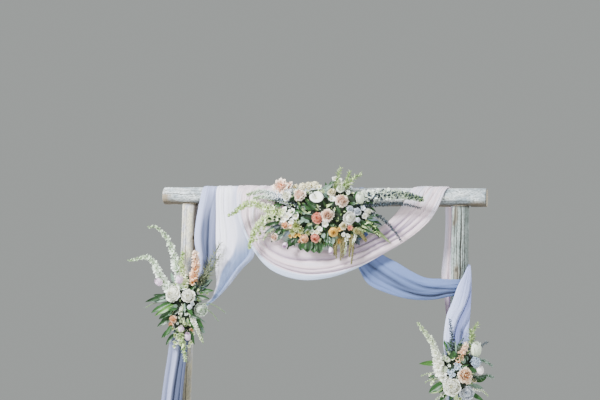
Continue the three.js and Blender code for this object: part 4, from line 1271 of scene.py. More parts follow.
def bud_shape(name, length, width, material, sides=5):
    """A closed bud or seed along +Z."""
    turn = np.arange(sides) * 2 * np.pi / sides
    rings = [(0.12, 0.3), (0.45, 1.0), (0.8, 0.6)]
    points = [[0, 0, 0]] + [[r * width / 2 * np.cos(t), r * width / 2 * np.sin(t), h * length]
                            for h, r in rings for t in turn] + [[0, 0, length]]
    shade = [0] + [h for h, r in rings for t in turn] + [1]
    return hidden_shape(name, points, capped_tube_faces(len(rings), sides), shade, material)


def stem_line(name, points, segments=40):
    """The line of a stem as a mesh of edges."""
    places = mm(spline(points, np.linspace(0, 1, segments)))
    mesh = bpy.data.meshes.new(name)
    mesh.from_pydata(places.tolist(), [(i, i + 1) for i in range(segments - 1)], [])
    return linked_object(name, mesh)


def mound_surface(mound, share, seed):
    """The mound as a closed surface at a share of its size, with a flat back and mossy lumps."""
    sides, rows = 48, 22
    turn = np.arange(sides)[None, :] * 2 * np.pi / sides
    fall = np.linspace(0, np.pi, rows + 2)[1:-1, None]
    # The poles lie front and back, so that the flat back is one round face
    direction = np.stack([np.sin(fall) * np.cos(turn), -np.cos(fall) + 0 * turn,
                          np.sin(fall) * np.sin(turn)], -1)
    poles = np.array([[0, -1.0, 0], [0, 1.0, 0]])
    power = mound["roundness"]
    (cx, cz), half = mound["centre"], np.array(mound["half"])
    noise = smooth_noise(turn / (2 * np.pi) * 14 + 0 * fall, fall * 6 + 0 * turn, seed, 14)

    def shaped(v, ripple):
        spread = (np.abs(v) ** power).sum(-1, keepdims=True) ** (-1 / power)
        placed = v * spread * half * share * (1 + 0.06 * ripple[..., None])
        placed[..., 1] = np.minimum(placed[..., 1], 0) + MOUND_BACK
        return placed + [cx, 0, cz]

    ends = shaped(poles, np.zeros(2))
    points = np.vstack([ends[:1], shaped(direction, noise).reshape(-1, 3), ends[1:]])
    return mm(points), [face[::-1] for face in capped_tube_faces(rows, sides)]


# Petals are (key, name, colours at the heart, in the middle, at the edge and near a spike's
# tip), and leaves (key, name, colours of old and young ones, roughness). A colour is a hex
# value or one of the arch's own colours.
PETALS = (
    ("white", "White rose petals", "#E6DCA6", "white_petal", "#FDFCF8", "#A8BE7C"),
    ("stock", "White stock petals", "#E8E8D2", "white_petal", "#FCFCF7", "#9DB878"),
    ("green white", "Green-white tulip petals", "#C4D49E", "#E4EED2", "#F5FAEC", "#A8BE7C"),
    ("cream", "Cream hydrangea petals", "#CDC785", "#F0E7C0", "#FAF5E0", "#A8BE7C"),
    ("pink", "Soft pink carnation petals", "#F6CAB0", "pink_petal", "#FDF0E2", "#E8D8B8"),
    ("salmon", "Salmon carnation petals", "#F2BE8A", "#FBDAB6", "#FDEBD6", "#E8D8B8"),
    ("orchid", "Orchid-pink petals", "#F3E6F2", "orchid_petal", "#F6E4F3", "#A8BE7C"),
    ("coral", "Coral rose petals", "#CE6048", "coral_petal", "#EFAE98", "#E8D8B8"),
    ("peach", "Peach stock petals", "#DD8E56", "peach_petal", "#F8DAC0", "#F7E2D0"),
    ("yellow", "Yellow ranunculus petals", "#BC7A20", "yellow_petal", "#ECC468", "#A8BE7C"),
    ("lilac", "Pale blue petals", "#C6D0DE", "blue_petal", "#F2F4F8", "#A8BE7C"),
    ("powder", "Powder-blue sea holly", "#55647E", "#9FB1C8", "#CEDAE8", "#B4C2D4"),
    ("snapdragon", "Green-white snapdragon petals", "#96B44E", "#D8E7A8", "#F0F5D8", "#8AAA4C"),
    ("silver", "Silver-white floret petals", "#B6CC9E", "#E0EED8", "#F8FBF4", "#9DB884"),
    ("olive", "Olive-green florets", "#64702E", "#B2BA70", "#E6E6B8", "#A8BE7C"),
    ("blush", "Blush tulip petals", "#F0D8DA", "#FAEDEE", "#FFFBFA", "#A8BE7C"),
    ("amaranth", "Olive amaranth buds", "#4A4526", "#7A713F", "#A59967", "#7C744A"))
LEAVES = (
    ("leaf", "Green leaves", "#0E260E", "leaf", 0.42),
    ("fresh", "Fresh green leaves", "#21441A", "#4A7A2A", 0.45),
    ("bright", "Young green leaves", "#6A884A", "#BDCF94", 0.55),
    ("eucalyptus", "Silver eucalyptus leaves", "#4C6257", "silver_leaf", 0.62),
    ("dark", "Dark veronica buds", "#1D252B", "#46525A", 0.6),
    ("rosemary", "Rosemary needles", "#566049", "#9EA486", 0.6),
    # A dark mossy core that is also painted shade between the leaves
    ("moss", "Moss on the foam", "#10190F", "#243120", 0.9),
    ("stem", "Green stems", "#56703A", "#7A9456", 0.5))


def flower_skins(colours):
    """The petal, leaf and moss materials, which the arrangements share."""
    def colour(value):
        return linear(value) if value.startswith("#") else getattr(colours, value)

    skins = {}
    for key, name, *look in PETALS:
        skins[key] = bpy.data.materials.get(name) or petal_skin(name, *map(colour, look))
    for key, name, old, young, roughness in LEAVES:
        skins[key] = bpy.data.materials.get(name) or leaf_skin(
            name, colour(old), colour(young), roughness)
    return skins


def flower_shapes(skins):
    """The small shapes that the trees copy."""
    longest = bpy.context.scene.arch_sizes.leaf_length
    green, white = skins["leaf"], skins["white"]
    return {
        "pointed leaf": leaf_shape("pointed_leaf", green, longest, 0.3 * longest, 0.35, 0.25, 0, 7),
        "round leaf": leaf_shape("round_leaf", green, 0.52 * longest, 0.4 * longest, 0.2, 0.15, 1,
                                 7),
        "narrow leaf": leaf_shape("narrow_leaf", green, 1.1 * longest, 0.13 * longest, 0.3, 0.35,
                                  0, 7),
        "small leaf": leaf_shape("small_leaf", green, 0.024, 0.011, 0.3, 0.2, 0.6, 5),
        "needle": leaf_shape("needle", green, 0.026, 0.0044, 0.2, 0.15, 0, 4),
        "floret": lipped_floret(white),
        "bud": bud_shape("bud", 0.009, 0.0055, white),
        "seed": bud_shape("seed", 0.0055, 0.005, white, 4)}


def remove_shapes(*objects):
    for made in objects:
        mesh = made.data
        bpy.data.objects.remove(made)
        if mesh.users == 0:
            bpy.data.meshes.remove(mesh)


def mesh_points(mesh):
    """The mesh's points in millimetres."""
    flat = np.zeros(len(mesh.vertices) * 3, np.float32)
    mesh.vertices.foreach_get("co", flat)
    return flat.reshape(-1, 3).astype(float) * 1000


def keep_in_front(mesh, mound):
    """Presses what lies behind the leaves' plane, or the swag that the mound is over, up
    against it."""
    points = mesh_points(mesh)
    swag = cloth_front(mound, points[:, 0], points[:, 2]) if "cloth_left_of" in mound else 0
    behind = np.maximum(points[:, 1] + (swag - LEAF_LIMIT), 0)
    points[:, 1] -= behind * 0.88
    mesh.vertices.foreach_set("co", mm(points).astype(np.float32).ravel())
    mesh.update()


def clear_of_blooms(mesh, size, mound, places):
    """Takes out the scattered shapes, each of size points, that lie across a bloom."""
    points = mesh_points(mesh).reshape(-1, size, 3)
    crossing = np.zeros(len(points), bool)
    for x, z, radius, *_ in places:
        front = bloom_place(mound, x, z, radius)[1] + 0.35 * radius
        near = np.hypot(points[..., 0] - x, points[..., 2] - z) < 0.86 * radius
        crossing |= (near & (points[..., 1] < front)).any(axis=1)
    edited = bmesh.new()
    edited.from_mesh(mesh)
    edited.verts.ensure_lookup_table()
    gone = [edited.verts[i] for i in np.flatnonzero(np.repeat(crossing, size))]
    bmesh.ops.delete(edited, geom=gone, context="VERTS")
    edited.to_mesh(mesh)
    edited.free()


def foliage(place, mound, skins, shapes, layers, seed, bloom_places):
    """A mossy foam mound, its dark colour also painted shade between the leaves, covered by layers of
    leaves, which leave the blooms clear. Each layer is (leaf, skin, share of the leaves per area, smallest,
    largest, least lean, most lean)."""
    tree = bpy.data.node_groups.get("Scatter over a surface") or scatter_tree()
    name = f"{place}_leaves"
    # The dark mossy core: painted shade that shows between the leaves
    points, faces = mound_surface(mound, CORE_SHARE, seed)
    core = mesh_object(name + "_core", points, faces, [skins["moss"]],
                       shade=np.full(len(points), 0.6),
                       tint=0.5 + 0.5 * smooth_noise(points[:, 0] * 60, points[:, 2] * 60, seed))
    points, faces = mound_surface(mound, LEAVES_SHARE, seed + 1)
    height = points[:, 1]
    kept = [f for f in faces if len(f) == 4 and all(height[i] < LEAF_ROOTS / 1000 for i in f)]
    source = mesh_object(name + "_source", points, kept, [])
    density = bpy.context.scene.arch_sizes.leaves_per_area
    cx, cz = mm(mound["centre"])
    meshes = [core.data]
    for i, (leaf, skin, share, smallest, largest, least, most) in enumerate(layers):
        made = grown(tree, source, {
            "Shape": shapes[leaf], "Per square metre": density * share,
            "Smallest": smallest, "Largest": largest, "Least lean": least,
            "Most lean": most, "Twist": 0.95, "Middle": (cx, -0.12, cz),
            "Seed": seed + 10 * i, "Material": skins[skin]})
        clear_of_blooms(made, len(shapes[leaf].data.vertices), mound, bloom_places)
        keep_in_front(made, mound)
        meshes.append(made)
    bpy.data.objects.remove(core)
    remove_shapes(source)
    finish_piece(joined_piece(name, meshes), "foliage", f"{place}_foliage")


def spikes(place, skins, shapes, rows, seed):
    """Pieces of flower spikes. Each row is (name, slot, floret, petal skin, florets, their
    sizes at root and tip, spread, the stems' lines). A piece replaces the CAD node of its
    name, where there is one."""
    tree = bpy.data.node_groups.get("Flower spike") or spike_tree()
    for i, (name, slot, floret, skin, count, sizes, spread, stems) in enumerate(rows):
        meshes = []
        for k, points in enumerate(stems):
            line = stem_line(name + "_line", points)
            meshes.append(grown(tree, line, {
                "Floret": shapes[floret], "Florets": count, "Root size": sizes[0],
                "Tip size": sizes[1], "Spread": spread, "Stem radius": STEM_RADIUS / 1000,
                "Seed": seed + 7 * i + k, "Petals": skins[skin],
                "Green": skins[skin if skin in ("dark", "rosemary") else "stem"]}))
            remove_shapes(line)
        piece = f"{place}_{name}"
        in_cad = [piece] if piece in frame["nodes"] else []
        finish_piece(joined_piece(piece + "_stems", meshes), slot, *in_cad)


def blooms(place, mound, skins, rows, seed):
    """Pieces of blooms of one colour. Each row is (name, petal skin, slot, the CAD node it
    stands for or None) and then blooms of one kind after another. A bloom is (x, z, radius)
    and then, where it needs them, the way it faces, its spin in degrees, its stretch and how
    much further forward it stands."""
    for i, (name, skin, slot, node_name, *runs) in enumerate(rows):
        patches = Patches()
        own_seed = seed + 40 * i
        for kind, *places in runs:
            for bloom in places:
                add_bloom(patches, kind, mound, own_seed, *bloom)
                own_seed += 1
        made = patches.mesh(f"{place}_{name}", [skins[skin], skins["stem"]])
        finish_piece(made, slot, *([f"{place}_{node_name}"] if node_name else []))


def arrangement(place, mound, layers, bloom_rows, leaves, spike_rows, seed, bloom_seed):
    """One tied arrangement: its mound of leaves, its blooms, chosen leaves and spikes."""
    skins = flower_skins(bpy.context.scene.arch_colours)
    shapes = flower_shapes(skins)
    bloom_places = [bloom for row in bloom_rows for run in row[4:] for bloom in run[1:]]
    foliage(place, mound, skins, shapes, layers, seed + 1, bloom_places)
    blooms(place, mound, skins, bloom_rows, bloom_seed)
    chosen_leaves(f"{place}_chosen_leaves", mound, skins, leaves, seed + 71)
    spikes(place, skins, shapes, spike_rows, seed + 100)
    remove_shapes(*shapes.values())


CENTRE_LAYERS = (
    ("pointed leaf", "leaf", 0.62, 0.45, 0.95, 0.15, 1),
    ("round leaf", "eucalyptus", 0.2, 0.5, 1, 0.2, 1.1),
    ("narrow leaf", "eucalyptus", 0.16, 0.5, 1, 0.2, 0.9),
    ("pointed leaf", "bright", 0.1, 0.35, 0.7, 0.3, 1.1),
    ("small leaf", "bright", 0.5, 0.7, 1.3, 0.4, 1.3),
    ("floret", "silver", 0.13, 0.8, 1.5, 0.5, 1.2),
    ("floret", "snapdragon", 0.1, 0.7, 1.4, 0.5, 1.2))
CENTRE_BLOOMS = (
    ("pink_blooms", "pink", "pink_petal", "pink_carnation",
     ("star", (614, 2397, 54, (-0.1, -1, 0.25)), (660, 2403, 32)), ("carnation", (746, 2338, 42))),
    ("cream_blooms", "cream", "white_petal", "cream_hydrangea",
     ("hydrangea", (750, 2392, 30), (790, 2399, 31), (826, 2405, 31)), ("tuft", (700, 2398, 22)),
     ("open", (858, 2396, 18)), ("carnation", (944, 2357, 28), (1027, 2150, 25)),
     ("open", (865, 2113, 17), (835, 2112, 15), (716, 2362, 16))),
    ("white_calla_bloom", "white", "white_petal", "white_calla",
     ("calla", (852, 2326, 43, (0.08, -0.85, 0.5), -52))),
    ("blush_blooms", "pink", "pink_petal", "peach_carnation",
     ("carnation", (1012, 2305, 43), (927, 2213, 43), (590, 2080, 28, (-0.3, -1, 0), None, 1, 24))),
    ("white_tulip_bloom", "green white", "white_petal", "white_tulip",
     ("cup", (1119, 2316, 31, (0.1, -0.6, 0.75), None, 1.3)),
     ("carnation", (996, 2381, 27, (0.1, -0.8, 0.5)))),
    ("coral_blooms", "coral", "coral_petal", "coral_rose", ("rose", (867, 2196, 36), (852, 2076, 29)),
     ("open", (1065, 2142, 18))),
    ("orange_blooms", "peach", "peach_petal", "orange_rose", ("carnation", (659, 2152, 26)),
     ("open", (694, 2150, 19)), ("rose", (782, 2071, 29)), ("spray star", (755, 2052, 21))),
    ("yellow_blooms", "yellow", "yellow_petal", "yellow_ranunculus", ("ranunculus", (966, 2112, 32)),
     ("open", (1018, 2136, 14), (692, 2090, 16), (722, 2092, 15)), ("carnation", (1003, 2058, 20)),
     ("open", (750, 2094, 14), (810, 2044, 14), (1000, 2130, 14))),
    ("white_blooms", "white", "white_petal", "white_stock", ("rose", (1063, 2200, 39)),
     ("carnation", (1172, 2238, 27)), ("open", (543, 2313, 16), (1150, 2214, 19)),
     ("carnation", (670, 2328, 34, None, None, 1, 42)), ("open", (628, 2316, 17)),
     ("carnation", (1026, 2405, 22)),
     ("open", (952, 2451, 22), (978, 2444, 15), (984, 2418, 20), (1024, 2432, 15), (1046, 2420, 13),
      (950, 2316, 22), (648, 2244, 26), (698, 2232, 28), (726, 2208, 25), (668, 2204, 27), (646, 2190, 22),
      (700, 2176, 20), (1025, 2098, 15), (1052, 2094, 14), (1042, 2072, 13), (915, 2160, 22),
      (882, 2132, 17))),
    ("green_white_blooms", "snapdragon", "silver_green", None,
     ("open", (584, 2226, 29), (606, 2182, 25), (512, 2268, 19), (549, 2184, 23), (518, 2144, 24),
      (492, 2104, 21), (472, 2066, 17))),
    ("olive_blooms", "olive", "silver_green", None,
     ("tuft", (734, 2146, 36), (762, 2122, 26), (708, 2112, 26), (1106, 2122, 25), (806, 2110, 20))),
    ("orchid_blooms", "orchid", "pink_petal", None,
     ("cup", (662, 2032, 20, (-0.1, -0.8, -0.4), None, 1.1, 20),
      (948, 2008, 19, (0.1, -0.7, -0.7), None, 1.5, 18))),
    ("lilac_blooms", "lilac", "blue_petal", None, ("carnation", (1064, 2254, 24), (1107, 2240, 26)),
     ("open", (1196, 2222, 21), (1138, 2262, 17)), ("hydrangea", (1110, 2190, 18)),
     ("open", (1048, 2392, 15))))
CENTRE_LEAVES = (
    ("eucalyptus", (880, 2365, 72, 36, 30, 0.6), (892, 2352, 66, 34, 5, 0.6)),
    ("leaf", (800, 2290, 78, 38, -38, 0.4)),
    ("eucalyptus", (782, 2290, 54, 12, -88, 0), (800, 2150, 58, 34, -40, 0.8)),
    ("dark", (622, 2156, 54, 28, 205, 0.4)),
    ("leaf", (780, 2060, 58, 42, -82, 0.9), (820, 2062, 62, 44, -96, 0.9), (862, 2056, 60, 44, -82, 0.9),
     (890, 2052, 54, 40, -94, 0.9), (800, 2050, 60, 50, -90, 0.9), (842, 2050, 64, 52, -88, 0.9),
     (876, 2046, 62, 50, -92, 0.9), (768, 2056, 56, 46, -98, 0.9), (930, 2070, 60, 26, -60, 0.3)),
    ("dark", (1100, 2085, 52, 26, -65, 0.4)), ("bright", (1196, 2150, 142, 22, -41, 0)),
    ("leaf", (1120, 2180, 80, 30, -20, 0.2)), ("eucalyptus", (760, 2200, 62, 32, -28, 0.7)),
    ("leaf", (770, 2236, 78, 28, 186, 0.2)), ("eucalyptus", (790, 2186, 58, 26, 204, 0.5)),
    ("leaf", (820, 2160, 70, 28, 236, 0.2)),
    ("bright", (752, 2250, 52, 10, 250, 0), (770, 2262, 48, 9, 262, 0)),
    ("dark", (700, 2120, 64, 26, 216, 0.4)), ("eucalyptus", (640, 2100, 66, 26, 228, 0.4)),
    ("leaf", (600, 2110, 70, 26, 238, 0.2), (690, 2070, 66, 26, 252, 0.2)),
    ("bright", (1130, 2165, 62, 18, 12, 0), (1130, 2155, 60, 18, -14, 0)),
    ("leaf", (720, 2290, 84, 26, 150, 0.2), (640, 2280, 88, 26, 190, 0.2), (630, 2130, 84, 28, 222, 0.2),
     (1150, 2290, 80, 26, 20, 0.2)), ("dark", (1160, 2200, 78, 24, -8, 0.2)),
    ("leaf", (980, 2270, 56, 26, -60, 0.4), (1030, 2260, 56, 26, -30, 0.4), (1160, 2200, 84, 28, -16, 0.2),
     (1170, 2176, 92, 26, -36, 0.2)), ("dark", (1180, 2206, 88, 24, -30, 0.2)),
    ("leaf", (1140, 2150, 88, 26, -30, 0.2)), ("eucalyptus", (1176, 2166, 70, 22, -10, 0.4)),
    ("leaf", (1164, 2216, 80, 22, 4, 0.2), (1186, 2150, 80, 20, -50, 0.2), (632, 2192, 104, 26, 178, 0.2),
     (622, 2172, 110, 26, 192, 0.2)), ("eucalyptus", (616, 2150, 92, 28, 206, 0.3)),
    ("leaf", (626, 2208, 96, 24, 164, 0.2), (590, 2150, 84, 24, 214, 0.2)),
    ("fresh", (580, 2196, 78, 22, 184, 0.2)))
RIGHT_SNAPDRAGON_LINE = [[[1140, -125, 2322], [1240, -160, 2343], [1370, -165, 2345], [1500, -165, 2318]]]
CENTRE_SPIKES = (
    ("left_snapdragon", "silver_green", "floret", "snapdragon", 44, (2.6, 1), 1.1,
     [[[640, -150, 2225], [540, -168, 2258], [430, -178, 2282], [310, -182, 2208]]]),
    ("left_low_snapdragon", "silver_green", "floret", "snapdragon", 44, (2.5, 1.1), 1.05,
     [[[630, -150, 2225], [545, -165, 2200], [480, -165, 2130], [435, -160, 2020]]]),
    ("left_blue_spray", "dark_spike", "bud", "lilac", 130, (3.2, 1.8), 1.2,
     [[[680, -135, 2315], [560, -140, 2355], [480, -142, 2362], [405, -140, 2340]],
      [[680, -130, 2290], [600, -150, 2318], [520, -152, 2330], [452, -150, 2318]]]),
    ("left_dark_spray", "dark_spike", "bud", "dark", 44, (2.4, 1.5), 1.3,
     [[[760, -150, 2248], [715, -178, 2284], [662, -186, 2304], [578, -184, 2304]]]),
    ("right_snapdragon", "silver_green", "floret", "silver", 80, (3.2, 1.2), 1.1, RIGHT_SNAPDRAGON_LINE),
    # Near-black buds between the florets, drawn as a calyx: painted shade in the gaps of the spike
    ("right_snapdragon_calyx", "dark_spike", "bud", "dark", 120, (4.4, 2.2), 1.3, RIGHT_SNAPDRAGON_LINE),
    ("right_dark_spike", "dark_spike", "bud", "dark", 110, (2.3, 1.2), 1.3,
     [[[1090, -130, 2235], [1230, -150, 2215], [1320, -155, 2140], [1376, -155, 2065]],
      [[1090, -140, 2280], [1222, -150, 2284], [1360, -152, 2292], [1486, -150, 2266]]]),
    ("top_sprig", "silver_green", "small leaf", "bright", 46, (1.6, 0.9), 0.85,
     [[[950, -130, 2370], [970, -135, 2430], [978, -140, 2475], [988, -140, 2502]],
      [[985, -125, 2370], [1020, -130, 2420], [1036, -135, 2455], [1046, -138, 2482]],
      [[1000, -125, 2370], [1050, -130, 2430], [1080, -130, 2455], [1114, -130, 2470]]]),
    ("amaranth_drip", "amaranth", "seed", "amaranth", 100, (2.2, 1.2), 1.2,
     [[[985, -150, 2100], [984, -160, 2050], [979, -160, 2010], [981, -155, 1957]],
      [[1000, -150, 2100], [1008, -162, 2050], [1012, -162, 2005], [1007, -155, 1945]],
      [[1020, -148, 2090], [1026, -160, 2040], [1024, -158, 1995], [1019, -155, 1962]],
      [[968, -146, 2080], [967, -158, 2040], [970, -158, 2000], [967, -155, 1976]],
      [[1060, -146, 2090], [1066, -158, 2040], [1062, -158, 1995], [1062, -155, 1965]],
      [[1070, -145, 2110], [1078, -158, 2060], [1082, -158, 2010], [1074, -152, 1924]]]),
    ("white_drips", "white_petal", "bud", "white", 26, (1.7, 1), 1.2,
     [[[1041, -160, 2090], [1043, -168, 2050], [1041, -168, 2020], [1034, -160, 1982]],
      [[1095, -155, 2100], [1093, -162, 2080], [1086, -162, 2060], [1080, -158, 2038]]]),
    ("seed_heads", "amaranth", "seed", "amaranth", 90, (3.2, 2.2), 1.2,
     [[[1070, -155, 2140], [1102, -162, 2122], [1130, -155, 2104], [1158, -140, 2066]]]),
    ("fern", "white_petal", "bud", "white", 24, (1.1, 0.6), 1.3,
     [[[760, -160, 2250], [690, -190, 2282], [620, -180, 2300], [552, -160, 2305]]]),
    ("light_sprays", "silver_green", "small leaf", "bright", 22, (1.1, 0.7), 1,
     [[[1120, -140, 2150], [1160, -150, 2165], [1190, -150, 2162], [1216, -148, 2150]],
      [[1120, -140, 2130], [1170, -150, 2125], [1210, -148, 2118], [1240, -146, 2100]],
      [[600, -150, 2140], [570, -150, 2120], [540, -146, 2095], [520, -142, 2065]]]))
SIDE_LAYERS = (
    ("pointed leaf", "leaf", 0.75, 0.5, 1, 0.2, 1.1),
    ("round leaf", "eucalyptus", 0.2, 0.5, 1, 0.2, 1.1),
    ("narrow leaf", "eucalyptus", 0.25, 0.6, 1.1, 0.2, 1),
    ("pointed leaf", "bright", 0.1, 0.4, 0.7, 0.3, 1.1),
    ("small leaf", "bright", 0.7, 0.7, 1.3, 0.4, 1.3),
    ("floret", "silver", 0.2, 0.7, 1.3, 0.5, 1.2))
LEFT_LAYERS = (*SIDE_LAYERS, ("floret", "snapdragon", 0.15, 0.7, 1.3, 0.5, 1.2))
RIGHT_LAYERS = (*SIDE_LAYERS, ("floret", "snapdragon", 0.12, 0.7, 1.3, 0.5, 1.2))
LEFT_BLOOMS = (
    ("outer_white_rose", "white", "white_petal", "white_rose_outer",
     ("rose", (-37, 1719, 57, (-0.45, -1, 0.15)))),
    ("upper_white_rose", "white", "white_petal", "white_rose_upper",
     ("rose", (63, 1707, 43, (0.1, -1, 0.15)))),
    ("lower_white_rose", "silver", "white_petal", "white_rose_lower",
     ("rose", (132, 1628, 45, (0.35, -1, -0.1)))),
    ("orchid_blooms", "orchid", "pink_petal", None,
     ("cup", (-128, 1787, 27, (-0.6, -0.5, 0.5), None, 1, 62),
      (0, 1804, 27, (0.15, -0.4, 0.9), None, 1, 58), (20, 1502, 22, (-0.1, -0.5, 0.85), None, 1),
      (55, 1456, 26, (0.15, -0.5, 0.85), None, 1))),
    ("peach_blooms", "peach", "peach_petal", None, ("carnation", (-31, 1564, 26), (-53, 1534, 20)),
     ("open", (76, 1501, 15))),
    ("green_white_blooms", "snapdragon", "silver_green", None,
     ("open", (-46, 1507, 16), (-28, 1466, 19), (-4, 1446, 19), (-26, 1420, 18), (8, 1416, 16),
      (-32, 1396, 14), (78, 1424, 16), (64, 1402, 13), (6, 1476, 14), (88, 1480, 12), (122, 1733, 16),
      (160, 1730, 12), (37, 1766, 17), (-70, 1640, 14)), ("tuft", (-100, 1770, 20))),
    ("blue_blooms", "lilac", "blue_petal", None, ("open", (88, 1663, 14)), ("hydrangea", (74, 1640, 18)),
     ("open", (-92, 1600, 13))))
LEFT_LEAVES = (
    ("fresh", (-25, 1654, 142, 34, 211, 0.1)),
    ("leaf", (-18, 1640, 132, 40, 217, 0.1), (-60, 1722, 170, 34, 200, 0.1)),
    ("eucalyptus", (-84, 1640, 82, 30, 184, 0.5), (-50, 1790, 70, 24, 112, 0.3)),
    ("dark", (90, 1760, 112, 34, 60, 0.2), (112, 1746, 98, 34, 42, 0.2)),
    ("leaf", (128, 1730, 92, 30, 68, 0.2)), ("eucalyptus", (100, 1540, 84, 36, -38, 0.7)),
    ("bright", (34, 1660, 56, 10, 266, 0)), ("eucalyptus", (42, 1664, 66, 14, 272, 0)),
    ("leaf", (60, 1650, 70, 30, -60, 0.2), (-60, 1600, 100, 30, 232, 0.2), (100, 1590, 96, 30, -50, 0.2),
     (-40, 1530, 96, 26, 236, 0.1), (70, 1500, 92, 26, -70, 0.1), (0, 1780, 86, 28, 80, 0.2)),
    ("dark", (30, 1790, 84, 26, 62, 0.2)), ("leaf", (-70, 1760, 96, 28, 150, 0.2)),
    ("dark", (120, 1770, 88, 40, 62, 0.5), (132, 1764, 84, 38, 84, 0.5)),
    ("bright", (140, 1800, 62, 16, 50, 0.2)), ("eucalyptus", (86, 1790, 62, 34, 92, 0.6)),
    ("leaf", (124, 1752, 92, 36, 44, 0.3)), ("eucalyptus", (112, 1770, 96, 38, 30, 0.4)),
    ("leaf", (104, 1736, 100, 34, 10, 0.3), (100, 1712, 96, 30, -10, 0.3)),
    ("eucalyptus", (-60, 1690, 138, 42, 184, 0.3)),
    ("leaf", (-50, 1662, 140, 40, 203, 0.2), (-62, 1700, 112, 30, 174, 0.2), (-56, 1570, 96, 34, 216, 0.2),
     (-52, 1506, 84, 32, 224, 0.2), (-36, 1474, 84, 28, 238, 0.2)))
LEFT_SPIKES = (
    ("arching_white_spike", "silver_green", "floret", "silver", 54, (2.9, 0.6), 1.05,
     [[[0, -125, 1750], [-26, -150, 1889], [-50, -160, 1975], [-84, -165, 2052], [-133, -165, 2108],
       [-175, -165, 2134], [-215, -165, 2131]]]),
    ("low_white_spike", "silver_green", "floret", "silver", 54, (2.7, 0.6), 1.05,
     [[[-50, -128, 1720], [-116, -150, 1808], [-145, -155, 1859], [-175, -155, 1909], [-219, -155, 1944],
       [-275, -155, 1936], [-342, -155, 1921]]]),
    ("peach_stock", "peach_petal", "floret", "peach", 32, (2, 1.7), 1.1,
     [[[72, -118, 1796], [90, -145, 1850], [97, -150, 1905], [90, -150, 1974]]]),
    ("rosemary_twig", "foliage", "needle", "rosemary", 96, (2.3, 1.4), 0.75,
     [[[100, -110, 1776], [150, -128, 1856], [198, -135, 1952], [243, -135, 2038]],
      [[110, -110, 1766], [162, -130, 1840], [206, -138, 1900], [246, -138, 1966]]]),
    ("hanging_snapdragon", "white_petal", "floret", "white", 32, (1.5, 0.6), 1.1,
     [[[78, -148, 1600], [102, -162, 1550], [132, -162, 1490], [160, -158, 1430]]]),
    ("green_tail", "silver_green", "small leaf", "bright", 70, (1.9, 0.9), 0.9,
     [[[15, -140, 1540], [25, -150, 1450], [40, -150, 1380], [55, -150, 1315]]]),
    ("green_spike", "silver_green", "floret", "snapdragon", 32, (2.1, 0.9), 1.05,
     [[[24, -135, 1776], [12, -150, 1858], [4, -152, 1913], [12, -150, 1975]]]),
    ("small_white_drip", "white_petal", "floret", "white", 14, (1, 0.6), 1.2,
     [[[22, -165, 1640], [20, -180, 1612], [18, -182, 1585], [24, -172, 1550]]]),
    ("astilbe", "silver_green", "needle", "eucalyptus", 60, (0.8, 0.5), 0.7,
     [[[120, -120, 1640], [170, -132, 1668], [225, -135, 1655], [290, -132, 1615]],
      [[120, -120, 1620], [165, -132, 1630], [205, -135, 1610], [250, -132, 1560]],
      [[100, -120, 1560], [130, -132, 1520], [150, -132, 1470], [158, -130, 1420]],
      [[-60, -120, 1660], [-120, -130, 1668], [-180, -132, 1656], [-226, -130, 1630]]]))
RIGHT_BLOOMS = (
    ("white_rose_bloom", "white", "white_petal", "white_rose",
     ("rose", (1699, 1212, 53, (-0.1, -1, 0.12)))),
    ("salmon_blooms", "salmon", "pink_petal", "peach_carnation", ("carnation", (1776, 1282, 49)),
     ("open", (1792, 1246, 20))),
    ("white_tulip_bloom", "green white", "white_petal", "white_tulip",
     ("cup", (1828, 1424, 39, (0.15, -0.4, 0.9), None, 1.25, 10), (1671, 1368, 19, (-0.2, -0.9, 0.4))),
     ("open", (1645, 1382, 18)), ("rose", (1652, 1313, 20))),
    ("blue_blooms", "lilac", "blue_petal", "blue_hydrangea", ("rose", (1783, 1178, 43, (0.1, -1, 0.1)))),
    ("mottled_florets", "powder", "blue_petal", None,
     ("hydrangea", (1830, 1359, 38, (0.2, -1, 0.1), None, 1, 20)),
     ("open", (1738, 1340, 13), (1718, 1346, 11), (1722, 1322, 13), (1744, 1318, 10), (1702, 1306, 12),
      (1686, 1290, 13), (1708, 1282, 11), (1672, 1304, 10), (1690, 1270, 10))),
    ("pink_bud", "blush", "pink_petal", None, ("cup", (1860, 1309, 27, (-0.25, -0.4, 0.9), None, 0.95, 36))),
    ("cream_rose", "cream", "white_petal", None, ("rose", (1824, 1262, 24, (0.4, -1, 0)))),
    ("green_white_blooms", "snapdragon", "silver_green", None,
     ("open", (1634, 1262, 15), (1650, 1160, 17), (1700, 1380, 14), (1740, 1140, 15), (1556, 1274, 14),
      (1578, 1246, 15), (1608, 1268, 14), (1618, 1234, 14), (1596, 1292, 14), (1566, 1224, 13),
      (1628, 1158, 13), (1716, 1146, 16))))
RIGHT_LEAVES = (
    ("fresh", (1620, 1350, 128, 34, 184, 0.2)), ("leaf", (1650, 1230, 108, 52, 212, 0.3)),
    ("bright", (1640, 1200, 84, 30, 200, 0.3)),
    ("leaf", (1696, 1366, 56, 46, 82, 0.7), (1720, 1366, 50, 40, 60, 0.6), (1830, 1250, 74, 40, 24, 0.5)),
    ("eucalyptus", (1806, 1226, 72, 30, -12, 0.4)), ("bright", (1720, 1180, 54, 24, -84, 0.3)),
    ("leaf", (1790, 1326, 60, 26, -20, 0.2), (1660, 1180, 90, 28, 240, 0.1)),
    ("bright", (1636, 1270, 84, 24, 196, 0.3), (1640, 1240, 78, 24, 214, 0.3)),
    ("leaf", (1760, 1160, 96, 28, -58, 0.1), (1800, 1180, 92, 28, -28, 0.1)),
    ("dark", (1700, 1150, 92, 26, 262, 0.1)), ("leaf", (1640, 1280, 92, 26, 190, 0.1)),
    ("dark", (1770, 1420, 84, 26, 56, 0.1)))
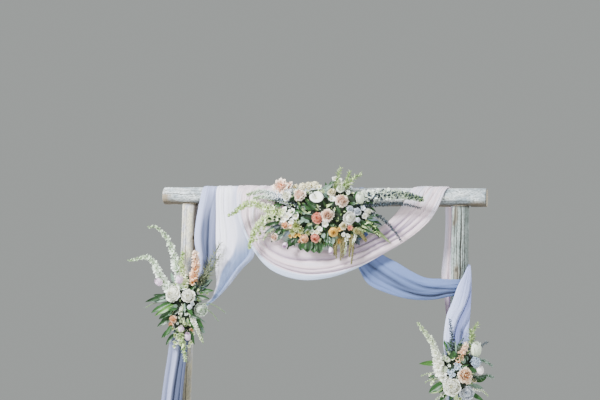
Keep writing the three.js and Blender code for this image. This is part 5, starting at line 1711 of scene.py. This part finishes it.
RIGHT_SPIKES = (
    ("white_stock", "white_petal", "floret", "stock", 60, (2.8, 0.7), 1.1,
     [[[1662, -135, 1244], [1623, -152, 1300], [1610, -158, 1356], [1597, -160, 1417], [1569, -160, 1477],
       [1526, -160, 1528], [1488, -158, 1580]]]),
    ("peach_stock", "peach_petal", "floret", "peach", 26, (1.9, 1.2), 1.1,
     [[[1722, -150, 1345], [1742, -168, 1385], [1758, -162, 1416], [1776, -150, 1460]]]),
    ("side_sprig", "silver_green", "small leaf", "eucalyptus", 60, (1.2, 0.7), 0.9,
     [[[1800, -118, 1276], [1850, -122, 1272], [1895, -132, 1284], [1934, -138, 1276]],
      [[1800, -125, 1350], [1845, -135, 1372], [1885, -138, 1366], [1924, -138, 1344]]]),
    ("dark_spike", "dark_spike", "bud", "dark", 50, (2.6, 1.3), 1.35,
     [[[1700, -140, 1400], [1692, -150, 1470], [1684, -150, 1545], [1673, -146, 1610]]]),
    ("dark_side_spike", "dark_spike", "bud", "dark", 36, (2.2, 1.2), 1.3,
     [[[1800, -125, 1380], [1840, -132, 1430], [1868, -132, 1462], [1896, -132, 1480]]]),
    ("green_sprig", "silver_green", "small leaf", "bright", 44, (1.5, 1.1), 0.9,
     [[[1780, -130, 1420], [1806, -140, 1494], [1812, -142, 1536], [1836, -142, 1584]],
      [[1780, -130, 1420], [1802, -140, 1480], [1804, -142, 1510], [1796, -142, 1544]]]),
    ("white_sprays", "silver_green", "bud", "stock", 26, (1.6, 0.9), 1.2,
     [[[1670, -130, 1290], [1600, -145, 1292], [1552, -146, 1284], [1512, -144, 1270]],
      [[1670, -130, 1260], [1610, -145, 1262], [1570, -146, 1250], [1536, -144, 1232]],
      [[1680, -130, 1190], [1640, -145, 1160], [1610, -146, 1140], [1586, -144, 1112]],
      [[1810, -130, 1200], [1850, -140, 1200], [1882, -140, 1190], [1906, -138, 1166]]]))


class ARCH_OT_centre_flowers(bpy.types.Operator):
    """Makes the arrangement on the middle of the beam"""

    bl_idname = "arch.centre_flowers"
    bl_label = "Centre flowers"

    def execute(self, context):
        arrangement("centre", CENTRE_MOUND, CENTRE_LAYERS, CENTRE_BLOOMS, CENTRE_LEAVES,
                    CENTRE_SPIKES, seed=300, bloom_seed=2000)
        return {"FINISHED"}


class ARCH_OT_left_flowers(bpy.types.Operator):
    """Makes the arrangement on the left post"""

    bl_idname = "arch.left_flowers"
    bl_label = "Left flowers"

    def execute(self, context):
        arrangement("left", LEFT_MOUND, LEFT_LAYERS, LEFT_BLOOMS, LEFT_LEAVES, LEFT_SPIKES,
                    seed=500, bloom_seed=2600)
        return {"FINISHED"}


class ARCH_OT_right_flowers(bpy.types.Operator):
    """Makes the arrangement on the right post"""

    bl_idname = "arch.right_flowers"
    bl_label = "Right flowers"

    def execute(self, context):
        arrangement("right", RIGHT_MOUND, RIGHT_LAYERS, RIGHT_BLOOMS, RIGHT_LEAVES,
                    RIGHT_SPIKES, seed=700, bloom_seed=3100)
        return {"FINISHED"}


class ARCH_OT_stage(bpy.types.Operator):
    """Makes the pale floor, the soft studio light and the camera"""

    bl_idname = "arch.stage"
    bl_label = "Stage"

    def execute(self, context):
        scene = context.scene
        # Matt painted floor: even and pale, with a faint unevenness
        material, add = new_material("Matt painted floor")
        place = add("TexCoord").outputs["Object"]
        clouds = add("TexNoise", {"Vector": place, "Scale": 1.5, "Detail": 4})
        colour = add("ValToRGB", {"Fac": clouds},
                     ((0.3, linear("#C9CAC8")), (0.7, linear("#D0D1CF"))))
        paint = add("BsdfPrincipled", {"Base Color": colour, "Roughness": 0.9})
        add("OutputMaterial", {"Surface": paint})
        turn = np.arange(96) * 2 * np.pi / 96
        rim = np.stack([FLOOR_MIDDLE + FLOOR_RADIUS * np.cos(turn), FLOOR_RADIUS * np.sin(turn),
                        0 * turn - 0.0005], -1)
        mesh_object("floor", rim, [list(range(96))], [material])
        world = bpy.data.worlds.new("Studio")
        world.use_nodes = True
        sky = world.node_tree.nodes["Background"].inputs
        sky["Color"].default_value = (*linear("#B4B8B6"), 1)
        sky["Strength"].default_value = 0.82
        scene.world = world
        for name, place, power, size in (
                ("key", (-3.6, -4.6, 6.2), 2150, 2.2), ("fill", (5.4, -4.6, 2.6), 240, 4.0),
                ("back", (1.6, 5.0, 4.8), 560, 3.6)):
            light = bpy.data.lights.new(name, "AREA")
            light.energy = power
            light.size = size
            light.color = (0.93, 0.97, 1)
            lamp = linked_object(name, light)
            lamp.location = place
            aim = Vector(LIGHT_AIM) - lamp.location
            lamp.rotation_euler = aim.to_track_quat("-Z", "Y").to_euler()
        camera = linked_object("camera", bpy.data.cameras.new("camera"))
        camera.data.lens = scene.arch_sizes.camera_lens
        camera.data.sensor_width = SENSOR_WIDTH
        left, up, lean = map(math.radians, CAMERA_ANGLES)
        camera.matrix_world = (
            Matrix.Translation(CAMERA_PLACE) @ Matrix.Rotation(left, 4, "Z")
            @ Matrix.Rotation(math.pi / 2 + up, 4, "X") @ Matrix.Rotation(lean, 4, "Z"))
        scene.camera = camera
        return {"FINISHED"}


PIECES = (ARCH_OT_stage, ARCH_OT_logs, ARCH_OT_left_cloths, ARCH_OT_swags,
          ARCH_OT_right_cloth, ARCH_OT_centre_flowers, ARCH_OT_left_flowers,
          ARCH_OT_right_flowers)


class ARCH_PT_panel(bpy.types.Panel):
    """Lists the sizes, the colours and the pieces of the arch"""

    bl_idname = "ARCH_PT_panel"
    bl_label = "Wedding arch"
    bl_space_type = "VIEW_3D"
    bl_region_type = "UI"
    bl_category = "Arch"

    def draw(self, context):
        for group in (context.scene.arch_sizes, context.scene.arch_colours):
            box = self.layout.box()
            for name in group.__annotations__:
                box.prop(group, name)
        for piece in PIECES:
            self.layout.operator(piece.bl_idname)


CLASSES = (ArchSizes, ArchColours, *PIECES, ARCH_PT_panel)


def register():
    for item in CLASSES:
        bpy.utils.register_class(item)
    bpy.types.Scene.arch_sizes = bpy.props.PointerProperty(type=ArchSizes)
    bpy.types.Scene.arch_colours = bpy.props.PointerProperty(type=ArchColours)


def unregister():
    del bpy.types.Scene.arch_colours
    del bpy.types.Scene.arch_sizes
    for item in reversed(CLASSES):
        bpy.utils.unregister_class(item)


def main():
    register()
    for piece in PIECES:
        group, name = piece.bl_idname.split(".")
        getattr(getattr(bpy.ops, group), name)()


if __name__ == "__main__":
    main()
